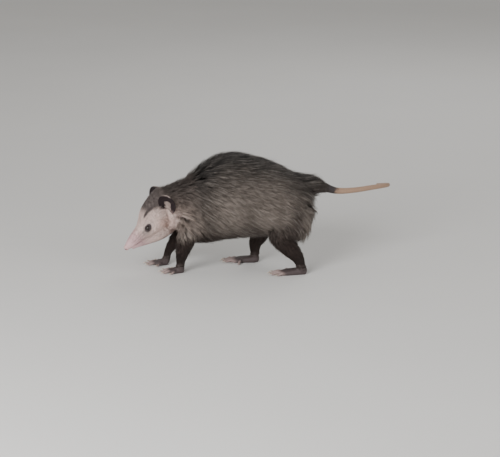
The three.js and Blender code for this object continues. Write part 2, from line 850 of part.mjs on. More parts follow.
const neckRear = (() => {
  const lean = radians(NECK_CUT.lean);
  return { point: vec(NECK_CUT.x, 0, 115), normal: vec(Math.cos(lean), 0, -Math.sin(lean)) };
})();

function coatedBody() {
  const draw = drawsFrom(COAT_SEED);
  const obstacles = lockObstacles();
  const neckLocks = coatOf(neckSurface, NECK_ROWS, LOCK.spacing, NECK_LOCK, obstacles, draw);
  const trunkLocks = coatOf(trunkSurface, TRUNK_ROWS, LOCK.spacing, TRUNK_LOCK, obstacles, draw);
  return joined([...neckLocks, ...trunkLocks]).subtract(obstacles).add(bodyCore(0));
}

function neckNode(body) {
  const front = headRear.point.clone().addScaledVector(headRear.normal, GAP);
  return largest(
    body
      .subtract(halfSpace(neckRear.point, neckRear.normal))
      .subtract(halfSpace(front, headRear.normal.clone().negate()))
      .subtract(skull(GAP).subtract(halfSpace(headRear.point, headRear.normal))),
  );
}

function torsoNode(body) {
  const front = neckRear.point.clone().addScaledVector(neckRear.normal, GAP);
  return largest(body.subtract(halfSpace(front, neckRear.normal.clone().negate())));
}

// Tail

function tailNode(name) {
  const [from, to] = TAIL_PARTS[name];
  const steps = Math.round((to - from) * 2.8);
  const trim = -GAP / 2;
  const form = limb(TAIL, from, to, steps, 12, 0, trim);
  return name === "tail_base" ? largest(form.subtract(bodyCore(GAP))) : form;
}

// Legs: each is one form from hip or shoulder to toes, parted at the knee and the ankle

function legForm(leg, grow) {
  const [x, y, z, , across] = leg.lower[0];
  return limb(leg.upper, 0, leg.upper.length - 1, 5, 11, grow)
    .add(ball(vec(x, y, z), across + grow, 9, 6))
    .add(limb(leg.lower, 0, leg.lower.length - 1, 5, 11, grow));
}

function kneeCut(leg) {
  const path = new THREE.CatmullRomCurve3(leg.upper.map(([x, y, z]) => vec(x, y, z)));
  return { point: path.getPoint(KNEE_PART), normal: path.getTangent(KNEE_PART) };
}

const clearOfBody = (form) => largest(form.subtract(bodyCore(GAP)));

function upperNode(leg) {
  const { point, normal } = kneeCut(leg);
  return clearOfBody(legForm(leg, 0).subtract(halfSpace(point, normal)));
}

function lowerNode(leg, kind) {
  const { point, normal } = kneeCut(leg);
  const start = point.clone().addScaledVector(normal, GAP);
  return clearOfBody(
    legForm(leg, 0)
      .subtract(halfSpace(start, normal.clone().negate()))
      .subtract(halfSpace(vec(0, 0, kind.ankle + GAP), vec(0, 0, -1))),
  );
}

// Feet

function footFrame(foot) {
  const turn = radians(foot.turn);
  const ahead = vec(-Math.cos(turn), -Math.sin(turn), 0);
  const left = vec(Math.sin(turn), -Math.cos(turn), 0);
  return (x, y, z) =>
    vec(foot.x, foot.y, 0).addScaledVector(ahead, x).addScaledVector(left, y).add(vec(0, 0, z));
}

function toeStations(kind, toe, outward) {
  const aim = radians(toe.aim) * outward;
  const length = kind.toeLength * toe.reach;
  const heights = [3.6, 5.4, 4.2, 2.4];
  return heights.map((height, k) => {
    const t = k / (heights.length - 1);
    const radius = THREE.MathUtils.lerp(kind.toeRadius, kind.toeTipRadius, t);
    return [toe.x + Math.cos(aim) * length * t, toe.y * outward + Math.sin(aim) * length * t, height, radius];
  });
}

function footSolid(kind, foot, outward, grow) {
  const place = footFrame(foot);
  const soleRings = kind.sole.map(([x, halfWidth, height], k) => {
    const shift = k === 0 ? -grow : k === kind.sole.length - 1 ? grow : 0;
    const put = (aside, up) => place(x + shift, aside, up);
    const section = { halfWidth, top: height, bottom: -TOE_SINK - 1.5, power: 2.4, egg: 0.1 };
    return sectionRing(put, 12, grown(section, grow));
  });
  const pieces = [loft(soleRings)];
  for (const toe of kind.toes) {
    const stations = toeStations(kind, toe, outward).map(([x, y, z, radius]) => {
      const point = place(x, y, z - TOE_SINK * 0.6);
      return [point.x, point.y, point.z, radius];
    });
    pieces.push(toeForm(stations, grow));
  }
  return joined(pieces);
}

// A toe: like a limb, but its sections stand square to the floor.
function toeForm(stations, grow) {
  const path = new THREE.CatmullRomCurve3(stations.map(([x, y, z]) => vec(x, y, z)));
  const table = stations.map((s, i) => [i, s[3]]);
  const steps = 3;
  const sides = 6;
  const rings = [];
  for (let k = 0; k <= steps; k += 1) {
    const t = k / steps;
    const [radius] = readAt(table, t * (stations.length - 1));
    const centre = path.getPoint(t);
    const along = path.getTangent(t).setZ(0).normalize();
    if (k === 0) centre.addScaledVector(along, -2 - grow);
    if (k === steps) centre.addScaledVector(along, grow);
    const side = vec(-along.y, along.x, 0);
    const ring = [];
    for (let j = 0; j < sides; j += 1) {
      const angle = (2 * Math.PI * (j + 0.25)) / sides;
      ring.push(
        centre
          .clone()
          .addScaledVector(side, (radius + grow) * Math.cos(angle))
          .add(vec(0, 0, (radius * 1.1 + grow) * Math.sin(angle))),
      );
    }
    rings.push(ring);
  }
  return loft(rings);
}

function footNode(kind, leg, outward) {
  const { point, normal } = kneeCut(leg);
  const shank = legForm(leg, 0).subtract(halfSpace(point, normal.clone().negate()));
  const foot = footSolid(kind, leg.foot, outward, 0).add(shank);
  return largest(above(foot.subtract(halfSpace(vec(0, 0, kind.ankle), vec(0, 0, 1)))));
}

// A claw: a small curved cone that starts just ahead of its toe's flat tip.
function clawNode(kind, foot, outward, toe) {
  const place = footFrame(foot);
  const stations = toeStations(kind, toe, outward);
  const [x, y, z] = stations[stations.length - 1];
  const aim = radians(toe.aim) * outward;
  const rings = [];
  const steps = 3;
  const sides = 5;
  for (let k = 0; k <= steps; k += 1) {
    const t = k / steps;
    const reach = GAP + CLAW_LENGTH * t * (1 - 0.12 * t);
    const radius = CLAW_RADIUS * (1 - 0.8 * t) * (kind.toeTipRadius / 2);
    const height = z - TOE_SINK * 0.6 + 0.9 * Math.sin(Math.PI * 0.7 * t) - 0.9 * t * t;
    const ring = [];
    for (let j = 0; j < sides; j += 1) {
      const angle = (2 * Math.PI * (j + 0.25)) / sides;
      const aside = radius * Math.cos(angle) * 0.8;
      ring.push(
        place(
          x + Math.cos(aim) * reach - Math.sin(aim) * aside,
          y + Math.sin(aim) * reach + Math.cos(aim) * aside,
          height + radius * Math.sin(angle) * 1.2,
        ),
      );
    }
    rings.push(ring);
  }
  return loft(rings);
}

// The finished nodes

const group = new THREE.Group();

function geometryOf(solid) {
  const mesh = solid.getMesh();
  const geometry = new THREE.BufferGeometry();
  geometry.setAttribute("position", new THREE.BufferAttribute(mesh.vertProperties, 3));
  geometry.setIndex(new THREE.BufferAttribute(mesh.triVerts, 1));
  return geometry;
}

// The solid again, with vertices that all but touch made one, and only its outer surface.
function welded(solid) {
  return largest(solidFromGeometry(geometryOf(solid), new THREE.Matrix4(), WELD));
}

function addNode(name, solid, colour, roughness = 0.9) {
  const geometry = geometryOf(welded(solid));
  geometry.computeVertexNormals();
  const material = new THREE.MeshStandardMaterial({ color: colour, roughness, metalness: 0 });
  const node = new THREE.Mesh(geometry, material);
  node.name = name;
  group.add(node);
}

addNode("head", headNode(), COLOURS.face);
addNode("nose", noseNode(), COLOURS.nose, 0.45);
for (const [name, ear] of Object.entries(EARS)) {
  addNode(`eye_${name}`, eyeNode(ear.side), COLOURS.eye, 0.08);
  addNode(`ear_${name}`, earNode(ear), COLOURS.ear, 0.6);
}
const body = coatedBody();
addNode("neck", neckNode(body), COLOURS.coat);
addNode("torso", torsoNode(body), COLOURS.coat);
for (const name of Object.keys(TAIL_PARTS)) {
  addNode(name, tailNode(name), name === "tail_base" ? COLOURS.tailDark : COLOURS.tailPale, 0.7);
}
for (const [name, leg] of Object.entries(LEGS)) {
  const kind = name.startsWith("fore") ? FORE_FOOT : HIND_FOOT;
  const outward = name.endsWith("left") ? 1 : -1;
  addNode(`${name}_upper_leg`, upperNode(leg), COLOURS.limb);
  addNode(`${name}_lower_leg`, lowerNode(leg, kind), COLOURS.limb);
  addNode(`${name}_foot`, footNode(kind, leg, outward), COLOURS.foot, 0.7);
  kind.toes.forEach((toe, i) => {
    if (toe.bare) return;
    addNode(`${name}_claw_${i + 1}`, clawNode(kind, leg.foot, outward, toe), COLOURS.claw, 0.4);
  });
}

const box = new THREE.Box3().setFromObject(group);
const middle = box.getCenter(vec(0, 0, 0));
group.position.set(-middle.x, -middle.y, -box.min.z);

export default group;
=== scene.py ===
# %% [markdown]
# A life-size opossum, seen walking with its head low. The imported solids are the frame:
# they give its place, its pose and its outline. This lesson lays one skin inside them and
# grows the coat on it as thousands of thin mesh tufts. The frame has to be loaded first,
# because every later piece takes its place from it.

# %% Load the frame
import math

import bpy
import numpy as np
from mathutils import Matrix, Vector
from mathutils.bvhtree import BVHTree
from mathutils.kdtree import KDTree


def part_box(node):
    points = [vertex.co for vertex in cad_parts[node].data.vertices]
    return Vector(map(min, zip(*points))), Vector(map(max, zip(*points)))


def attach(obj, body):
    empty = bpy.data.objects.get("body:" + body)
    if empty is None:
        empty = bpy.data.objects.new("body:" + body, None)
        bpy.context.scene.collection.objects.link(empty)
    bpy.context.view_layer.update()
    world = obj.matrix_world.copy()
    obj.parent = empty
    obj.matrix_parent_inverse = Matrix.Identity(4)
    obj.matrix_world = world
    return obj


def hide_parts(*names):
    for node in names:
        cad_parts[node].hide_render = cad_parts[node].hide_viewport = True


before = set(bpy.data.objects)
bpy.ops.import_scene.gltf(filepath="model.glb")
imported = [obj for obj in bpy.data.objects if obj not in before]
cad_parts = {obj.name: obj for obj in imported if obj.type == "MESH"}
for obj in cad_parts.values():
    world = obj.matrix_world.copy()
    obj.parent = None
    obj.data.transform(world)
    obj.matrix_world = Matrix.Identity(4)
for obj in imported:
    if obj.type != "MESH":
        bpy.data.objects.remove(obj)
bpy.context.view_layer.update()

MM = 0.001
print("nodes in the frame:", len(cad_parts))

# %% [markdown]
# The animal's driving sizes, in millimetres in its own place: the head points to -X and the
# floor is at zero. They are the sizes of the solids, so skin and solids agree. Each table row
# starts with a place along the body. A short table read by a smooth curve is easier to change
# than a long list of points.

# %% Sizes of the animal
HEAD_PITCH, HEAD_YAW = 46, 20  # degrees down, and degrees turned to its own left
HEAD_LENGTH = 120
OCCIPUT = np.array([-147.0, 0.0, 131.0])  # back of the head, where it turns
# behind the nose, half width, top, bottom
CRANIUM = [
    [4, 5.4, 4.4, -6.6], [10, 7.4, 6.8, -9.8], [18, 9.2, 8.8, -12.8], [30, 11.8, 10.8, -17],
    [44, 15, 13, -22], [54, 19, 17.8, -26], [64, 24, 23.6, -29], [76, 29, 27.8, -32],
    [90, 31, 30.2, -34], [104, 29.5, 30.6, -33], [118, 26.5, 27, -29], [130, 20, 21, -22],
]
JAW = [
    [9, 3.6, -6, -13.4], [16, 5.6, -7, -17.6], [28, 8.6, -9, -26], [42, 12.2, -12, -35],
    [56, 16.6, -15, -42.5], [70, 21.4, -14, -47], [84, 24, -10, -48], [98, 23, -6, -44.5],
]
# x, coat top, coat bottom, half width
TRUNK = [
    [-126, 164, 54, 43], [-112, 174, 47, 50], [-90, 191, 44, 56], [-66, 208, 47, 62],
    [-38, 216, 53, 66], [2, 209, 57, 69], [34, 198, 60, 70], [62, 185, 63, 68],
    [88, 172, 69, 60], [102.5, 161, 79, 46.5], [110.5, 150, 90, 32.5], [116, 139, 104, 15],
]
# centre x, centre z, half height, half width
NECK = [
    [-168, 109, 32, 25], [-154, 111, 41, 33.5], [-138, 112.5, 47.5, 40.5],
    [-120, 114, 55.5, 45.5], [-98, 118, 58, 48], [-80, 124, 56, 46],
]
# x, y, z, radius
TAIL = [
    [96, 0, 146, 14.5], [112, 1, 152.5, 12], [134, 7, 149, 8.2], [158, 20, 140, 5.9],
    [190, 42, 136, 5], [224, 70, 134.5, 4.6], [250, 98, 132, 4.2],
    [258, 130, 126, 3.6], [252, 163, 119, 3], [240, 192, 113, 1.7],
]
# x, y, z, radius of the low ridge that joins rump and tail
SADDLE = [[56, 0, 146, 18], [80, 0, 146.5, 15.5], [98, 0, 149, 14.5], [114, 1.5, 152, 11.5]]
# x, y, z, radius lengthwise, radius across, from hip or shoulder down to the ankle
LEGS = {
    "fore_left": [
        [-92, -22, 124, 22, 14], [-101, -33, 100, 22, 13.5], [-111, -40, 77, 17, 13],
        [-115.5, -41, 63, 14, 12.5], [-121, -39, 43, 11.8, 10.5],
        [-125, -35.5, 22.5, 9.2, 8.5], [-127, -33.5, 6, 8, 8.2],
    ],
    "fore_right": [
        [-90, 22, 124, 22, 14], [-102, 31, 100, 22, 13], [-116, 34, 78, 17, 12],
        [-124, 33, 64, 13, 11], [-137, 31, 44, 10.5, 9], [-150, 27, 23, 8, 7],
        [-155, 25, 6, 7.5, 8],
    ],
    "hind_left": [
        [84, -22, 124, 28, 18], [76, -34, 104, 29, 17], [61, -43, 84, 22, 14],
        [54, -46, 69, 16, 13], [70, -47, 50, 15, 12], [86, -47, 30, 11, 9.5],
        [95, -45, 8, 8, 7.5],
    ],
    "hind_right": [
        [80, 22, 124, 28, 18], [62, 34, 104, 29, 17], [38, 43, 88, 22, 14],
        [26, 46, 74, 16, 13], [18, 47, 53, 15, 12], [10, 47, 32, 11, 9.5],
        [9, 45, 8, 8, 7.5],
    ],
}
FEET = [(-131.0, -32.0), (-161.0, 24.0), (74.0, -44.0), (-12.0, 44.0)]  # middle of each sole
KNEE = 3  # the row where upper and lower leg meet
EYE_RADIUS = 5.4
EYE_PLACE = (54.2, 16.6, -0.9)  # behind the nose, aside, up
EYE_FACING = (0.28, 0.9, 0.34)  # forward, aside, up
EYE_RING = (8.7, 5.5, 14)  # half length and half height of the dark skin round it, depth
COAT_DEPTH = 17  # from the skin out to the tips on the trunk
print("trunk:", TRUNK[-1][0] - TRUNK[0][0], "mm long, head:", HEAD_LENGTH, "mm")

# %% [markdown]
# The head hangs and turns, so it has its own frame of three directions. The solids were moved
# as a whole so that their box stands in the middle, and the eye's own box tells by how much.

# %% The head's frame and the move into the row's frame
pitch, yaw = math.radians(HEAD_PITCH), math.radians(HEAD_YAW)
FORWARD = np.array([
    -math.cos(pitch) * math.cos(yaw), -math.cos(pitch) * math.sin(yaw), -math.sin(pitch),
])
LEFT = np.array([math.sin(yaw), -math.cos(yaw), 0.0])
UP = np.cross(FORWARD, LEFT)


def on_head(behind, left, up):
    """A point of the head, by its distance behind the nose, to the left and up."""
    return OCCIPUT + FORWARD * (HEAD_LENGTH - behind) + LEFT * left + UP * up


def head_places(points):
    """The same three distances for given points."""
    away = points - OCCIPUT
    return HEAD_LENGTH - away @ FORWARD, away @ LEFT, away @ UP


def eye_centre(side):
    behind, aside, up = EYE_PLACE
    return on_head(behind, side * aside, up)


def eye_axes(side):
    ahead, aside, up = EYE_FACING
    out = FORWARD * ahead + LEFT * side * aside + UP * up
    out /= np.linalg.norm(out)
    along = FORWARD - 0.25 * UP
    along = along - out * np.dot(along, out)
    along /= np.linalg.norm(along)
    return out, along, np.cross(out, along)


eye_box = [np.array(corner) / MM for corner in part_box("eye_left")]
MOVE = (eye_box[0] + eye_box[1]) / 2 - eye_centre(1)
print("moved by", MOVE.round(2), "mm")

# %% [markdown]
# Small helpers: a smooth reading of a table, a superellipse section, and a loft that closes
# rings of points into one mesh. They are written once here, because skin, nose, ears and
# tail all use them.

# %% Helpers for numbers
def smoothstep(low, high, value):
    """0 at low, 1 at high and a soft rise between them."""
    t = np.clip((value - low) / (high - low), 0, 1)
    return t * t * (3 - 2 * t)


def hump(distance, size):
    """1 at no distance, and less and less away from there."""
    return np.exp(-((distance / size) ** 2))


def blend(first, second, share):
    """The first where the share is 0, the second where it is 1."""
    return first * (1 - share) + second * share


def units(vectors):
    """The same vectors, brought to length one."""
    return vectors / (np.linalg.norm(vectors, axis=-1, keepdims=True) + 1e-9)


def flattened(vectors, normals):
    """What is left of the vectors across the normals."""
    return vectors - normals * np.sum(vectors * normals, axis=-1, keepdims=True)


def turns(sides):
    """The angles of the points of a ring."""
    return 2 * math.pi * np.arange(sides) / sides


def read_at(table, place):
    """A smooth curve through a table's rows, read at one place."""
    last = len(table) - 1
    i = 0
    while i < last - 1 and place > table[i + 1][0]:
        i += 1
    before, low = np.array(table[max(i - 1, 0)], float), np.array(table[i], float)
    high, after = np.array(table[i + 1], float), np.array(table[min(i + 2, last)], float)
    span = high[0] - low[0]
    t = min(max((place - low[0]) / span, 0), 1)
    start = (high - before) / (high[0] - before[0]) * span
    end = (after - low) / (after[0] - low[0]) * span
    value = low * (2 * t**3 - 3 * t**2 + 1) + start * (t**3 - 2 * t**2 + t)
    return (value + high * (3 * t**2 - 2 * t**3) + end * (t**3 - t**2))[1:]


print("top, bottom, half width of the trunk at its middle:", read_at(TRUNK, 0).round(1))

# %% Helpers for forms
LIMB_SIDES = 28


def section(sides, half_width, top, bottom, power=2.0, egg=0.0):
    """Points (aside, up) of an egg-shaped superellipse."""
    angle = 2 * math.pi * (np.arange(sides) + 0.5) / sides
    c, s = np.cos(angle), np.sin(angle)
    aside = np.sign(c) * np.abs(c) ** (2 / power) * half_width * (1 - egg * s)
    up = (top + bottom) / 2 + np.sign(s) * np.abs(s) ** (2 / power) * (top - bottom) / 2
    return np.stack([aside, up], axis=1)


def curve_points(rows, places):
    """Points and tangents of a smooth path through rows of x, y, z, at places by row number."""
    knots = np.array([row[:3] for row in rows], float)
    first, last = 2 * knots[0] - knots[1], 2 * knots[-1] - knots[-2]
    knots = np.vstack([first, knots, last])
    points, tangents = [], []
    for place in places:
        i = min(int(place), len(rows) - 2)
        t = place - i
        p = knots[i:i + 4]
        a, b, c = [max(np.sum((p[k + 1] - p[k]) ** 2) ** 0.25, 1e-4) for k in range(3)]
        start = ((p[1] - p[0]) / a - (p[2] - p[0]) / (a + b) + (p[2] - p[1]) / b) * b
        end = ((p[2] - p[1]) / b - (p[3] - p[1]) / (b + c) + (p[3] - p[2]) / c) * b
        k2 = -3 * p[1] + 3 * p[2] - 2 * start - end
        k3 = 2 * p[1] - 2 * p[2] + start + end
        points.append(p[1] + start * t + k2 * t**2 + k3 * t**3)
        tangent = start + 2 * k2 * t + 3 * k3 * t**2
        tangents.append(tangent / np.linalg.norm(tangent))
    return np.array(points), np.array(tangents)


def loft(rings, tip=None):
    """Points and faces of a closed form through rings that have the same number of points."""
    sides = len(rings[0])
    points = [p for ring in rings for p in ring]
    faces = []
    for k in range(len(rings) - 1):
        for j in range(sides):
            a, b = k * sides + j, k * sides + (j + 1) % sides
            faces.append((a, b, b + sides, a + sides))
    for end in (0, len(rings) - 1):
        middle = np.mean(rings[end], axis=0) if tip is None or end == 0 else tip
        points.append(middle)
        for j in range(sides):
            a, b = end * sides + j, end * sides + (j + 1) % sides
            faces.append((a, b, len(points) - 1) if end else (b, a, len(points) - 1))
    return np.array(points), faces


def hoop(centre, along, angle, lengthwise, across):
    """A ring of points round a path, with one of its two directions level with the floor."""
    side = np.array([0, 1, 0]) - along * along[1]
    side /= np.linalg.norm(side)
    front = np.cross(side, along)
    return (
        centre + np.outer(np.cos(angle), front) * lengthwise
        + np.outer(np.sin(angle), side) * across
    )


def limb(rows, first, last, steps, grow=0.0):
    """A tapering form along a smooth path of x, y, z, radius, radius across."""
    places = np.linspace(first, last, steps + 1)
    centres, tangents = curve_points(rows, places)
    radii = [[i, row[3], row[-1]] for i, row in enumerate(rows)]
    return loft([
        hoop(centre, along, turns(LIMB_SIDES), *(read_at(radii, place) + grow))
        for place, centre, along in zip(places, centres, tangents)
    ])


path, _ = curve_points(TAIL, np.linspace(0, len(TAIL) - 1, 100))
print("tail:", round(np.linalg.norm(np.diff(path, axis=0), axis=1).sum()), "mm along its middle")

# %% Helpers for objects
def facing_out(points, faces):
    """The faces, turned round if they point inwards."""
    volume = 0.0
    for face in faces:
        for k in range(1, len(face) - 1):
            a, b, c = points[face[0]], points[face[k]], points[face[k + 1]]
            volume += np.dot(a, np.cross(b, c))
    return [face[::-1] for face in faces] if volume < 0 else faces


def linked(name, data):
    """A new object in the scene, from a mesh, a light or a camera."""
    made = bpy.data.objects.new(name, data)
    bpy.context.scene.collection.objects.link(made)
    return made


def add_object(name, points, faces):
    """A mesh object in metres in the row's frame, from points in the animal's millimetres."""
    mesh = bpy.data.meshes.new(name)
    placed = (np.asarray(points, float) + MOVE) * MM
    mesh.from_pydata(placed.tolist(), [], [tuple(face) for face in facing_out(points, faces)])
    mesh.update()
    mesh.polygons.foreach_set("use_smooth", [True] * len(mesh.polygons))
    return linked(name, mesh)


def vertex_array(mesh):
    """The mesh's points, in the animal's millimetres."""
    values = np.empty(len(mesh.vertices) * 3)
    mesh.vertices.foreach_get("co", values)
    return values.reshape(-1, 3) / MM - MOVE


def keep_values(mesh, label, values):
    """Keeps a number or a vector with each point of a mesh, for its material."""
    values = np.asarray(values, np.float32)
    many = values.ndim > 1
    attribute = mesh.attributes.new(label, "FLOAT_VECTOR" if many else "FLOAT", "POINT")
    attribute.data.foreach_set("vector" if many else "value", values.ravel())


print("the near forefoot has", len(vertex_array(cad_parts["fore_left_foot"].data)), "points")

# %% [markdown]
# Under the coat lies one skin. It could be one sculpted mesh, but simple overlapping forms
# that a voxel remesh melts together give the same soft joins at neck, shoulder and hip, and
# keep every size in the tables. Trunk and neck lie inside the coat's outline by its depth,
# and face and legs by the length that short fur stands up. The feet come from the solids.

# %% Forms of the skin
LEG_DEPTH = 2.0


def face_depth(behind):
    """The depth of the short coat along the head: nothing at the nose, most at the nape."""
    return np.interp(behind, [4, 30, 60, 90, 120], [0.2, 1.2, 1.8, 2.8, 4.6])


def head_form(table, egg):
    rings = []
    for at in np.linspace(table[0][0] - 1.5, table[-1][0], 46):
        half_width, top, bottom = read_at(table, at)
        depth = face_depth(at)
        ring = section(56, half_width - depth, top - depth, bottom + depth, 2.25, egg)
        rings.append([on_head(at, left, up) for left, up in ring])
    return loft(rings)


def neck_coat_depth(place):
    """The depth of the coat along the neck's rows: it grows from the nape backwards."""
    return np.interp(place, [0, 1, 2, 3, 4], [2, 4, 8, 14, COAT_DEPTH])


def neck_form():
    by_order = [[i, *row] for i, row in enumerate(NECK)]
    rings = []
    for at in np.linspace(0, len(NECK) - 1, 26):
        x, z, half_height, half_width = read_at(by_order, at)
        ahead = read_at(by_order, min(at + 0.1, len(NECK) - 1))
        behind = read_at(by_order, max(at - 0.1, 0))
        along = np.array([ahead[0] - behind[0], 0, ahead[1] - behind[1]])
        along /= np.linalg.norm(along)
        rise = np.array([-along[2], 0, along[0]])
        depth = neck_coat_depth(at)
        ring = section(48, half_width - depth, half_height - depth, depth - half_height, 2, 0.05)
        centre = np.array([x, 0, z])
        rings.append([centre + np.array([0, left, 0]) + rise * up for left, up in ring])
    return loft(rings)


def trunk_form():
    first, coat_end = TRUNK[0][0], TRUNK[-1][0]
    skin_end = coat_end - COAT_DEPTH
    rings = []
    for k in range(50):
        x = first + (skin_end - first) * math.sin(math.pi / 2 * k / 49) ** 0.9
        rear = np.clip((x - 50) / (skin_end - 50), 0, 1)
        top, bottom, half_width = read_at(TRUNK, x + rear * (coat_end - skin_end))
        depth = COAT_DEPTH * (1 - 0.9 * rear**3)
        ring = section(64, half_width - depth, top - depth, bottom + depth, 2.1, 0.08)
        rings.append([np.array([x, left, up]) for left, up in ring])
    return loft(rings)


forms = {
    "cranium": head_form(CRANIUM, 0.1),
    "jaw": head_form(JAW, 0.0),
    "neck": neck_form(),
    "trunk": trunk_form(),
    "tail_root": limb(TAIL, 0, 2.6, 20, grow=-0.5),
    "saddle": limb(SADDLE, 0, 3, 14),
}
for leg, rows in LEGS.items():
    forms[leg + "_upper"] = limb(rows, 0, KNEE, 18, grow=-LEG_DEPTH)
    forms[leg + "_lower"] = limb(rows, KNEE - 0.25, len(rows) - 1, 20, grow=-LEG_DEPTH * 0.7)
for leg in LEGS:
    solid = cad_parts[leg + "_foot"].data
    faces = [tuple(face.vertices) for face in solid.polygons]
    forms[leg + "_foot"] = (vertex_array(solid), faces)
print("forms:", ", ".join(forms))

# %% [markdown]
# The overlapping forms become one skin. A voxel remesh fills everything that lies inside, so
# only the outer surface is left. It leaves small steps, which a few rounds of smoothing take
# away: each round pulls every point to the middle of its neighbours and then pushes part of
# the way back, so that thin toes keep their size.

# %% One skin
VOXEL = 1.35  # mm
PULL, PUSH = 0.55, -0.4  # shares of the way to the middle of the neighbours
SKIN_ROUNDS = 7


def joined_forms():
    points, faces, count = [], [], 0
    for form_points, form_faces in forms.values():
        points.append(form_points)
        for face in facing_out(form_points, form_faces):
            faces.append(tuple(index + count for index in face))
        count += len(form_points)
    return add_object("skin", np.vstack(points), faces)


def apply_modifiers(piece):
    bpy.context.view_layer.update()
    graph = bpy.context.evaluated_depsgraph_get()
    finished = bpy.data.meshes.new_from_object(piece.evaluated_get(graph))
    piece.modifiers.clear()
    piece.data = finished


def smoothed(points, rounds, push=PUSH):
    """The skin's points, eased towards their neighbours and pushed part of the way back."""
    one, other = edges[:, 0], edges[:, 1]
    count = np.bincount(edges.ravel(), minlength=len(points))[:, None]
    for _ in range(rounds):
        for share in (PULL, push):
            total = np.zeros_like(points)
            for axis in range(3):
                total[:, axis] += np.bincount(one, points[other, axis], len(points))
                total[:, axis] += np.bincount(other, points[one, axis], len(points))
            points = points + share * (total / np.maximum(count, 1) - points)
    return points


skin = joined_forms()
remesh = skin.modifiers.new("melt together", "REMESH")
remesh.mode = "VOXEL"
remesh.voxel_size = VOXEL * MM
apply_modifiers(skin)
skin.data.name = "skin"
edges = np.empty(len(skin.data.edges) * 2, np.int32)
skin.data.edges.foreach_get("vertices", edges)
edges = edges.reshape(-1, 2)
skin_points = smoothed(vertex_array(skin.data), SKIN_ROUNDS)
print("skin:", len(skin.data.polygons), "faces")

# %% [markdown]
# The face gets its modelling by moving the skin's points in the head's frame: the line of the
# mouth with its lips, the hollow in front of each eye, the brow over it, the mound that holds
# the eye and the full cheek. Moves by smooth humps are easy to tune, and they keep the mesh
# closed. The forms still meet in creases at cheek and jowl, so the skin is smoothed there
# alone, and each heel, square on its solid, is pulled in to a round one.

# %% Modelling of face and heels
MOUTH_BACK = 58  # behind the nose, where the corner of the mouth lies
HEEL_REACH = 9  # from the heel's rear end forwards
CHEEK_ROUNDS, JOWL_ROUNDS = 26, 14
# The hollow before the eye, the brow, the cheek, the muzzle's side and the eye's mound:
# behind the nose, aside, up, how far out, size
FACE_HUMPS = [
    (43, 13.5, -1, -1.3, 7.0), (57, 15, 10, 1.5, 8.0), (74, 27, -12, 1.6, 16.0),
    (47, 15, -13, 0.8, 9.0), (*EYE_PLACE, 1.8, 9.0),
]


def mouth_height(behind):
    """How far down the head's side the mouth line runs."""
    reach = np.clip((behind - 7) / (MOUTH_BACK - 7), 0, 1)
    lip_top = np.interp(behind, [row[0] for row in JAW], [row[2] for row in JAW])
    return lip_top - 1.2 - 3.5 * reach ** 0.77


def modelled_face(points):
    """The points with mouth and humps pressed or raised, and cheek and jowl smoothed."""
    behind, left, up = head_places(points)
    near_head = (behind < 125) & (up > -52)
    from_mouth = up - mouth_height(behind)
    along_mouth = smoothstep(MOUTH_BACK + 2, MOUTH_BACK - 5, behind) * near_head
    in_groove = hump(from_mouth, 0.9) * along_mouth
    on_lips = (hump(from_mouth - 2.4, 1.8) + 0.9 * hump(from_mouth + 2.4, 1.8)) * along_mouth
    shift = 0.3 * on_lips - 0.5 * in_groove
    for at, aside, height, amount, size in FACE_HUMPS:
        away = np.stack([behind - at, np.abs(left) - aside, up - height])
        shift = shift + amount * hump(np.linalg.norm(away, axis=0), size) * near_head
    points = points + LEFT * np.sign(left)[:, None] * shift[:, None]
    beside = smoothstep(48, 40, np.abs(left))
    cheek = smoothstep(56, 68, behind) * smoothstep(136, 116, behind) * beside
    cheek *= smoothstep(24, 4, up) * smoothstep(-70, -50, up)
    points = points + (smoothed(points, CHEEK_ROUNDS, 0.0) - points) * cheek[:, None]
    jowl = smoothstep(26, 40, behind) * smoothstep(104, 92, behind) * hump(from_mouth, 7.0)
    jowl *= beside * near_head
    return points + (smoothed(points, JOWL_ROUNDS, 0.0) - points) * (0.8 * jowl)[:, None]


def round_heel(points, foot_points):
    """Pulls what stands out at a foot's rear end in to a round heel."""
    rear = foot_points[:, 0].max() - HEEL_REACH
    width = foot_points[foot_points[:, 0] > rear][:, 1]
    centre = np.array([rear, width.mean(), 7.0])
    away = (points - centre) / np.array([8.6, 0.5 * np.ptp(width) + 0.4, 9.0])
    far = np.linalg.norm(away, axis=1)
    at_heel = (away[:, 0] > 0) & (far > 1) & (far < 2) & (points[:, 2] < 15)
    pulled = centre + (points - centre) / far[:, None]
    points[at_heel] = pulled[at_heel]
    return int(at_heel.sum())


skin_points = modelled_face(skin_points)
moved = [round_heel(skin_points, forms[leg + "_foot"][0]) for leg in LEGS]
skin_points[:, 2] = np.maximum(skin_points[:, 2], 0)
skin.data.vertices.foreach_set("co", ((skin_points + MOVE) * MM).ravel())
skin.data.update()
skin.data.polygons.foreach_set("use_smooth", [True] * len(skin.data.polygons))
print("face modelled, points moved at the heels:", moved)

# %% [markdown]
# Skin and coat must carry the same markings, or bare spots would show where the tufts part.
# So the markings are one node group that turns a place on the animal into a colour, and each
# tuft carries the place of its own root. Node trees are long to write out, so a small class
# lets an output be added and multiplied like a number.

# %% Wires between nodes
class Wire:
    """One output of a node, which works in a formula like a number."""

    def __init__(self, tree, socket):
        self.tree = tree
        self.socket = socket

    def __add__(self, other):
        return self.tree.math("ADD", self, other)

    def __radd__(self, other):
        return self.tree.math("ADD", other, self)

    def __sub__(self, other):
        return self.tree.math("SUBTRACT", self, other)

    def __rsub__(self, other):
        return self.tree.math("SUBTRACT", other, self)

    def __mul__(self, other):
        return self.tree.math("MULTIPLY", self, other)

    def __truediv__(self, other):
        return self.tree.math("DIVIDE", self, other)

    def __abs__(self):
        return self.tree.math("ABSOLUTE", self)


print("wires ready")

